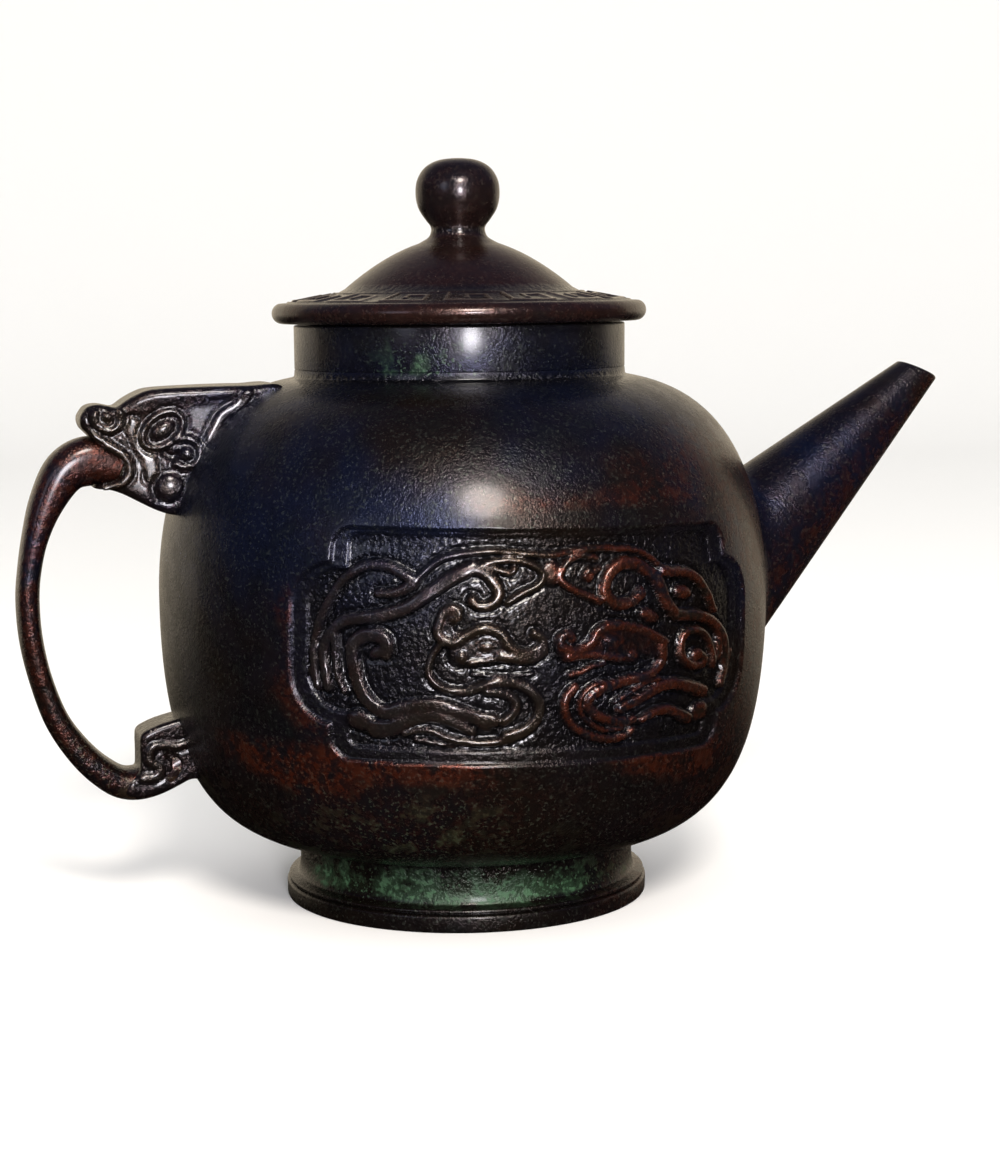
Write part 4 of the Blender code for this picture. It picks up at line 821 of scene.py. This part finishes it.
def buildLid():
    item = lid
    turns = np.linspace(0, 2 * pi, item["columns"], endpoint=False)
    # Underneath: the hollow of the dome, the collar, the flange's underside and the rounded rim
    r, a = np.linspace(3, 23, 9), np.linspace(-1.5, 1.25, 12)
    hollow = np.stack([r, domeLevel(r, item["wall"]) - item["thicker"]], 1)
    rim = item["rimMiddle"] + item["rimRound"] * np.stack([np.cos(a), np.sin(a)], 1)
    bottom = turnedZone(np.vstack([hollow, roundedLine(item["collar"], 4), rim, item["rimTop"]]), turns,
                        domeLevel(0, item["wall"]) - item["thicker"], True)

    # The flange's top with its fret, finely divided, and the worn ups and downs of the fret's height
    columns, rows = item["fretGrid"]
    fine = np.linspace(0, 2 * pi, columns, endpoint=False)
    turn, r = np.meshgrid(fine, np.linspace(*item["fretRings"], rows))
    share = (turn * item["fretUnits"] / (2 * pi)) % 1
    inKey = np.stack([share.ravel() * item["unitLength"], r.ravel()], 1) - item["keyFrom"]
    gap = nearestOnPath(inKey, np.array(item["key"], float))[0].reshape(r.shape)
    key = softStep(0.22, -0.22, gap - item["fretWidth"] / 2)
    border = np.minimum(*(np.abs(r - place) for place in item["borders"]))
    rise = np.maximum(key, 0.7 * softStep(0.2, -0.2, border - item["borderHalf"]))
    worn = 0.8 + 0.2 * np.sin(7 * turn + 1) * np.cos(11 * turn)
    level = (item["domeFoot"] - item["fretGround"] - (r - item["domeRadius"]) * item["flangeSlope"]
             + item["fretHeight"] * rise * worn)
    points = turnedPoints(turn, r + castWaves(turn, 133) * softStep(26, 34, r), level).reshape(-1, 3)
    rise = rise.ravel()
    none = np.zeros(len(rise))
    # Patina: red-brown, painted shade on the fret's ground between the keys, and rubbed keys
    patina = np.stack([none, none + 0.25, (1 - rise) * 0.9, softStep(0.75, 1.0, rise)], 1)
    band = {"points": points, "faces": [gridFaces(rows, columns, True)], "patina": patina}

    # Above: the dome, the stem and the knob
    dome = np.linspace(26.6, 9.0, 18)[1:]
    top = turnedZone(np.vstack([[(26.9, 137.14)], np.stack([dome, domeLevel(dome) + 0.02], 1),
                                smoothCurve(item["knob"], 3)]), turns, item["top"], False)
    for zone in (bottom, top):
        zone["patina"] = lidPatina(zone["points"][:, 2])
    whole = joinedShells([bottom, band, top])
    bandFirst = len(bottom["points"]) + np.arange(columns)
    bandLast, topFirst = bandFirst + (rows - 1) * columns, len(bottom["points"]) + len(points)
    turns, fine = around(turns, 2 * pi), around(fine, 2 * pi)
    whole["faces"] += [sewnFaces(around(bottom["high"]), turns, around(bandFirst), fine),
                       sewnFaces(around(bandLast), fine, around(top["low"] + topFirst), turns)]
    return shell(whole["points"], whole["faces"], whole["patina"])


ewerLid = meshPiece("ewerLid", buildLid())
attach(ewerBody, "root")
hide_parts("ewer_body", "handle", "spout")
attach(ewerLid, "root")
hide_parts("lid")
for piece in (ewerBody, ewerLid):
    print(piece.name, sum(len(p.vertices) - 2 for p in piece.data.polygons), "triangles")


# A colour from its sRGB hex code: linear = ((c + 0.055) / 1.055)^2.4
def colour(code):
    values = [int(code[k:k + 2], 16) / 255 for k in (0, 2, 4)]
    return tuple(c / 12.92 if c <= 0.04045 else ((c + 0.055) / 1.055) ** 2.4 for c in values) + (1,)


# Adds a node with its settings and its inputs by number or name: a socket is linked, anything else becomes the
# input's value. It gives back the node's outputs
def addNode(tree, kind, inputs=None, **settings):
    node = tree.nodes.new("ShaderNode" + kind)
    for name, value in settings.items():
        setattr(node, name, value)
    for key, value in (inputs or {}).items():
        if isinstance(value, bpy.types.NodeSocket):
            tree.links.new(value, node.inputs[key])
        else:
            node.inputs[key].default_value = value
    return node.outputs


# Noise of the bronze as (pattern size in mm, value that becomes 0, value that becomes 1, detail, roughness)
patterns = {
    "clouds": (34, 0.36, 0.64, 3, 0.5), "patches": (7, 0.4, 0.62, 5, 0.6), "flecks": (1.5, 0.42, 0.62, 3, 0.6),
    "specks": (0.75, 0.56, 0.68, 2, 0.6), "grain": (0.5, 0.3, 0.7, 2, 0.6), "stipple": (1.2, 0.35, 0.65, 2, 0.5),
}
# Steps from the noise and the patina's layers to the shares of the colours and the values of the surface. Each is an
# operation and its inputs: numbers, settings of the bronze, or results by name. Results but the sums stay within 0
# and 1
steps = {
    # Navy and brown clouds, with more navy on the upper half as a painted reflection of a bluish sky, and black
    # # patches with painted shade added on the lower half
    "paintedSkyRamp": ("LINEAR", "level", 40 * mm, 85 * mm, 0.25, 1.0),
    "navyAndSkyShare": ("MULTIPLY", "clouds", "paintedSkyRamp"),
    # Painted shade: black added on the lower half, over the random black patches
    "paintedLowShade": ("MULTIPLY_ADD", "paintedSkyRamp", -0.25, 0.25),
    "blackAndLowShade": ("MULTIPLY_ADD", "patches", 0.4, "paintedLowShade"),
    # Red-brown spreads as patches, then as flecks
    "redSum": ("MULTIPLY_ADD", "patches", 0.7, "flecks"),
    "redSpread": ("MULTIPLY", "redSum", "red"),
    "redBrown": ("MULTIPLY", "redSpread", "redShare"),
    "paleSpecks": ("MULTIPLY", "specks", "speckShare"),
    # Verdigris: the layer's share against the patches and flecks, with sparse green specks everywhere
    "greenSum": ("MULTIPLY_ADD", "patches", 0.45, "green"),
    "greenPatch": ("SMOOTHSTEP", "greenSum", 0.42, 1.15),
    "speckSum": ("MULTIPLY_ADD", "green", 1.1, 0.05),
    "greenSpeck": ("MULTIPLY", "specks", "speckSum"),
    "greenFlecks": ("MULTIPLY", "greenPatch", "flecks"),
    "greenFilm": ("MULTIPLY", "greenPatch", 0.45),
    "greenest": ("MAXIMUM", "greenFlecks", "greenSpeck"),
    "verdigris": ("MAXIMUM", "greenest", "greenFilm"),
    # Dark soil over dirt, and as painted shade in grooves, recesses and joins
    "dirtAndShadeShare": ("MULTIPLY", "dirtAndShade", 0.75),
    # Worn ridges, less bright in flecks and where they are red-brown
    "unflecked": ("MULTIPLY_ADD", "flecks", -0.35, 1.0),
    "unreddened": ("MULTIPLY_ADD", "red", -0.75, 1.0),
    "bare": ("MULTIPLY", "rubbed", "unflecked"),
    "shine": ("MULTIPLY", "bare", "unreddened"),
    "wornBright": ("MULTIPLY", "shine", "wornShare"),
    # Roughness: waxed and even, duller in verdigris, smoother where dirt and painted shade lie and where worn
    "rough1": ("MULTIPLY_ADD", "patches", 0.08, "roughness"),
    "rough2": ("MULTIPLY_ADD", "flecks", 0.05, "rough1"),
    "rough3": ("MULTIPLY_ADD", "verdigris", 0.3, "rough2"),
    "rough4": ("MULTIPLY_ADD", "dirtAndShade", -0.05, "rough3"),
    "rough": ("MULTIPLY_ADD", "shine", -0.08, "rough4"),
    "metal": ("MULTIPLY_ADD", "verdigris", -0.85, "metallic"),
    # Wax gathers on the carved ground and is buffed on the ridges
    "waxed": ("MULTIPLY_ADD", "verdigris", -0.3, "wax"),
    "carvedSum": ("ADD", "dirtAndShade", "rubbed"),
    "coat": ("MULTIPLY_ADD", "carvedSum", 0.4, "waxed"),
    # Height in mm: the mould's grain, flecks, verdigris, and a stipple on the ground of the carving
    "height1": ("MULTIPLY", "grain", "grainDepth"),
    "height2": ("MULTIPLY_ADD", "flecks", "fleckDepth", "height1"),
    "height3": ("MULTIPLY_ADD", "verdigris", 0.03, "height2"),
    "pitted": ("MULTIPLY", "dirtAndShade", "stipple"),
    "pitHeight": ("MULTIPLY_ADD", "red", -0.306, 0.34),
    "height": ("MULTIPLY_ADD", "pitted", "pitHeight", "height3"),
}
# Colours laid over the brown one by one, each with the result that gives its share
colourLayers = (("navy", "navyAndSkyShare"), ("black", "blackAndLowShade"), ("reddish", "redBrown"), ("speck", "paleSpecks"),
                ("greenish", "verdigris"), ("soilAndShade", "dirtAndShadeShare"), ("worn", "wornBright"))


# Cast bronze, darkened by a lacquer-like brown-black patina and kept waxed: a dark metal under a thin clear layer,
# # which gives near-black browns and navies with pale, soft-edged reflections. Navy is painted more on the upper
# # half as a reflection of a bluish sky, and black is painted on the lower half as shade. Red-brown where handling
# # has thinned the patina, matt green verdigris in speckles and patches, dull dirt and painted shade in the grooves,
# # recesses and joins, bright worn ridges, and a fine pitted grain from the mould
def patinatedBronze(name, settings):
    material = bpy.data.materials.new(name)
    material.use_nodes = True
    tree = material.node_tree
    tree.nodes.clear()
    place = addNode(tree, "TexCoord")["Object"]
    layers = addNode(tree, "Attribute", attribute_name="patina")
    split = addNode(tree, "SeparateColor", {0: layers["Color"]})
    found = {**settings, "green": split[0], "red": split[1], "dirtAndShade": split[2], "rubbed": layers["Alpha"],
             "level": addNode(tree, "SeparateXYZ", {0: place})[2]}
    for pattern, (size, low, high, detail, rough) in patterns.items():
        wave = addNode(tree, "TexNoise", {
            "Vector": place, "Scale": 1 / (size * mm), "Detail": detail, "Roughness": rough})
        found[pattern] = addNode(tree, "MapRange", {0: wave[0], 1: low, 2: high}, interpolation_type="SMOOTHSTEP")[0]
    for step, (operation, *inputs) in steps.items():
        inputs = {number: found.get(value, value) for number, value in enumerate(inputs)}
        if operation in ("LINEAR", "SMOOTHSTEP"):
            found[step] = addNode(tree, "MapRange", inputs, interpolation_type=operation)[0]
        else:
            found[step] = addNode(tree, "Math", inputs, operation=operation, use_clamp=not step.endswith("Sum"))[0]
    base = colour(settings["brown"])
    for tint, share in colourLayers:
        base = addNode(tree, "Mix", {0: found[share], 6: base, 7: colour(settings[tint])}, data_type="RGBA")[2]
    bump = addNode(tree, "Bump", {"Height": found["height"], "Distance": mm, "Strength": 1.0})
    surface = addNode(tree, "BsdfPrincipled", {
        "Base Color": base, "Metallic": found["metal"], "Roughness": found["rough"], "Normal": bump[0],
        "Coat Weight": found["coat"], "Coat Roughness": settings["waxRoughness"], "Coat IOR": 1.45})
    addNode(tree, "OutputMaterial", {0: surface[0]})
    return material


# The navy also paints a sky reflection on the belly's upper half, the black paints shade on its lower half, and the
# soil paints dirt and shade in grooves, recesses and joins
bodyBronze = patinatedBronze("bronze_brown_black_patina_waxed", {
    "brown": "221914", "navy": "161b2f", "black": "0b0c0c", "reddish": "50200f", "redShare": 0.8, "speck": "54504e",
    "speckShare": 0.2, "greenish": "2c4f30", "soilAndShade": "100e0f", "worn": "544a30", "wornShare": 0.16,
    "roughness": 0.2, "metallic": 0.8, "wax": 0.25, "waxRoughness": 0.18, "grainDepth": 0.05, "fleckDepth": 0.02})
lidBronze = patinatedBronze("bronze_brown_patina_handled", {
    "brown": "301d17", "navy": "1f1a1c", "black": "120e0e", "reddish": "4a2318", "redShare": 0.6, "speck": "5a4f48",
    "speckShare": 0.16, "greenish": "2f4a38", "soilAndShade": "110e0d", "worn": "8a7b6d", "wornShare": 0.6,
    "roughness": 0.17, "metallic": 0.7, "wax": 0.35, "waxRoughness": 0.14, "grainDepth": 0.025, "fleckDepth": 0.015})
ewerBody.data.materials.append(bodyBronze)
ewerLid.data.materials.append(lidBronze)
print("materials made")

# The turn of the photo's view, away from a square look at the front
viewTurn = radians(-15.3)

# A plain pale floor that curves up far behind the ewer, in metres away from the viewer and up
sweep = [(-12, 0)] + [(1.4 + 0.9 * sin(a), 0.9 - 0.9 * cos(a)) for a in np.linspace(0, pi / 2, 13)] + [(2.3, 4)]
floorPoints = [(side * cos(viewTurn) - away * sin(viewTurn), side * sin(viewTurn) + away * cos(viewTurn), up)
               for away, up in sweep for side in (-8, 8)]
floorMesh = bpy.data.meshes.new("floor")
floorMesh.from_pydata(floorPoints, [], gridFaces(len(sweep), 2, False).tolist())
floorMesh.shade_smooth()
floor = placed("floor", floorMesh)
floorPaper = bpy.data.materials.new("matt_white_paper")
floorPaper.use_nodes = True
for name, value in (("Base Color", colour("f2f1ef")), ("Roughness", 0.9)):
    floorPaper.node_tree.nodes["Principled BSDF"].inputs[name].default_value = value
floorMesh.materials.append(floorPaper)
floor.visible_glossy = False     # the bronze mirrors the darker room, not this paper

# The room round the ewer, turned like the photo's view. What the bronze mirrors is a pale wall behind it, a bluish
# upper front and a dark warm lower front; the backdrop and the light on the floor are an even white
world = bpy.data.worlds.new("room")
bpy.context.scene.world = world
world.use_nodes = True
tree = world.node_tree
tree.nodes.clear()
direction = addNode(tree, "TexCoord")["Generated"]
up = addNode(tree, "SeparateXYZ", {0: direction})[2]
# 1 towards the viewer, -1 right behind the ewer; the wall starts nearer on the left
c, s = cos(viewTurn), sin(viewTurn)
facing = addNode(tree, "VectorMath", {0: direction, 1: (s + 0.07 * c, -c + 0.07 * s, 0)}, operation="DOT_PRODUCT")
# Smooth steps as (input, from, to, least): the wall's edge, its foot and its top, and the upper front
behind, aboveFloor, belowSky, high = (
    addNode(tree, "MapRange", dict(enumerate(step)), interpolation_type="SMOOTHSTEP")[0]
    for step in ((facing["Value"], -0.44, -0.52), (up, -0.3, 0), (up, 0.8, 0.25, 0.2), (up, -0.02, 0.45)))
for share in (aboveFloor, belowSky):
    behind = addNode(tree, "Math", {0: behind, 1: share}, operation="MULTIPLY")[0]
room = colour("15100e")
for share, tint in ((high, "34416b"), (behind, "e6d7be")):
    room = addNode(tree, "Mix", {0: share, 6: room, 7: colour(tint)}, data_type="RGBA")[2]
seen, mirrored = (addNode(tree, "Background", {"Color": tint, "Strength": strength})[0]
                  for tint, strength in ((colour("fbfbfa"), 1.0), (room, 0.85)))
blend = addNode(tree, "MixShader", {0: addNode(tree, "LightPath")["Is Glossy Ray"], 1: seen, 2: mirrored})
addNode(tree, "OutputWorld", {0: blend[0]})


# A round area light at a turn from the viewer and a height, both in degrees, aimed at the middle of the ewer
def areaLight(name, turn, height, distance, size, power, tint):
    data = bpy.data.lights.new(name, "AREA")
    data.shape, data.size, data.energy, data.color = "DISK", size, power, colour(tint)[:3]
    lamp = placed(name, data)
    a, h = viewTurn + radians(turn), radians(height)
    away = Vector((sin(a) * cos(h), -cos(a) * cos(h), sin(h)))
    lamp.location = Vector((axisX, 0, 90)) * mm + distance * away
    lamp.rotation_euler = away.to_track_quat("Z", "Y").to_euler()
    lamp.visible_camera = False


areaLight("keyLight", 8.5, 34, 1.3, 0.34, 17, "fff8f0")
areaLight("lowLight", 8, 6, 1.3, 0.24, 12.5, "fbf8ff")
areaLight("fillLight", -38, 16, 1.6, 0.5, 1.5, "dfe6ff")

# The camera: where the photo was taken from, 7.1 degrees down, with its focal length for a picture 1168 high
shot = {"focal": 2366.07, "distance": 536.754, "height": 137.489, "pitch": 0.124083, "yaw": 0.0158856,
        "roll": -0.0112257, "pictureHeight": 1168}
turned = Matrix.Rotation(viewTurn, 3, "Z")
pitch, yaw, roll = shot["pitch"], shot["yaw"], shot["roll"]
forward = Vector((sin(yaw) * cos(pitch), cos(yaw) * cos(pitch), -sin(pitch)))
rightward = Vector((cos(yaw), -sin(yaw), 0))
upward = rightward.cross(forward)
across, upright = cos(roll) * rightward + sin(roll) * upward, cos(roll) * upward - sin(roll) * rightward
place = Matrix((turned @ across, turned @ upright, turned @ -forward)).transposed().to_4x4()
place.translation = turned @ Vector((0, -shot["distance"], shot["height"])) * mm + Vector((axisX * mm, 0, 0))
lens = bpy.data.cameras.new("camera")
lens.sensor_fit, lens.sensor_height, lens.clip_start = "VERTICAL", 36, 0.01
lens.lens = 36 * shot["focal"] / shot["pictureHeight"]
camera = placed("camera", lens)
camera.matrix_world = place
bpy.context.scene.camera = camera
bpy.context.scene.view_settings.view_transform = "Standard"
bpy.context.view_layer.update()
print("stage, lights and camera set")
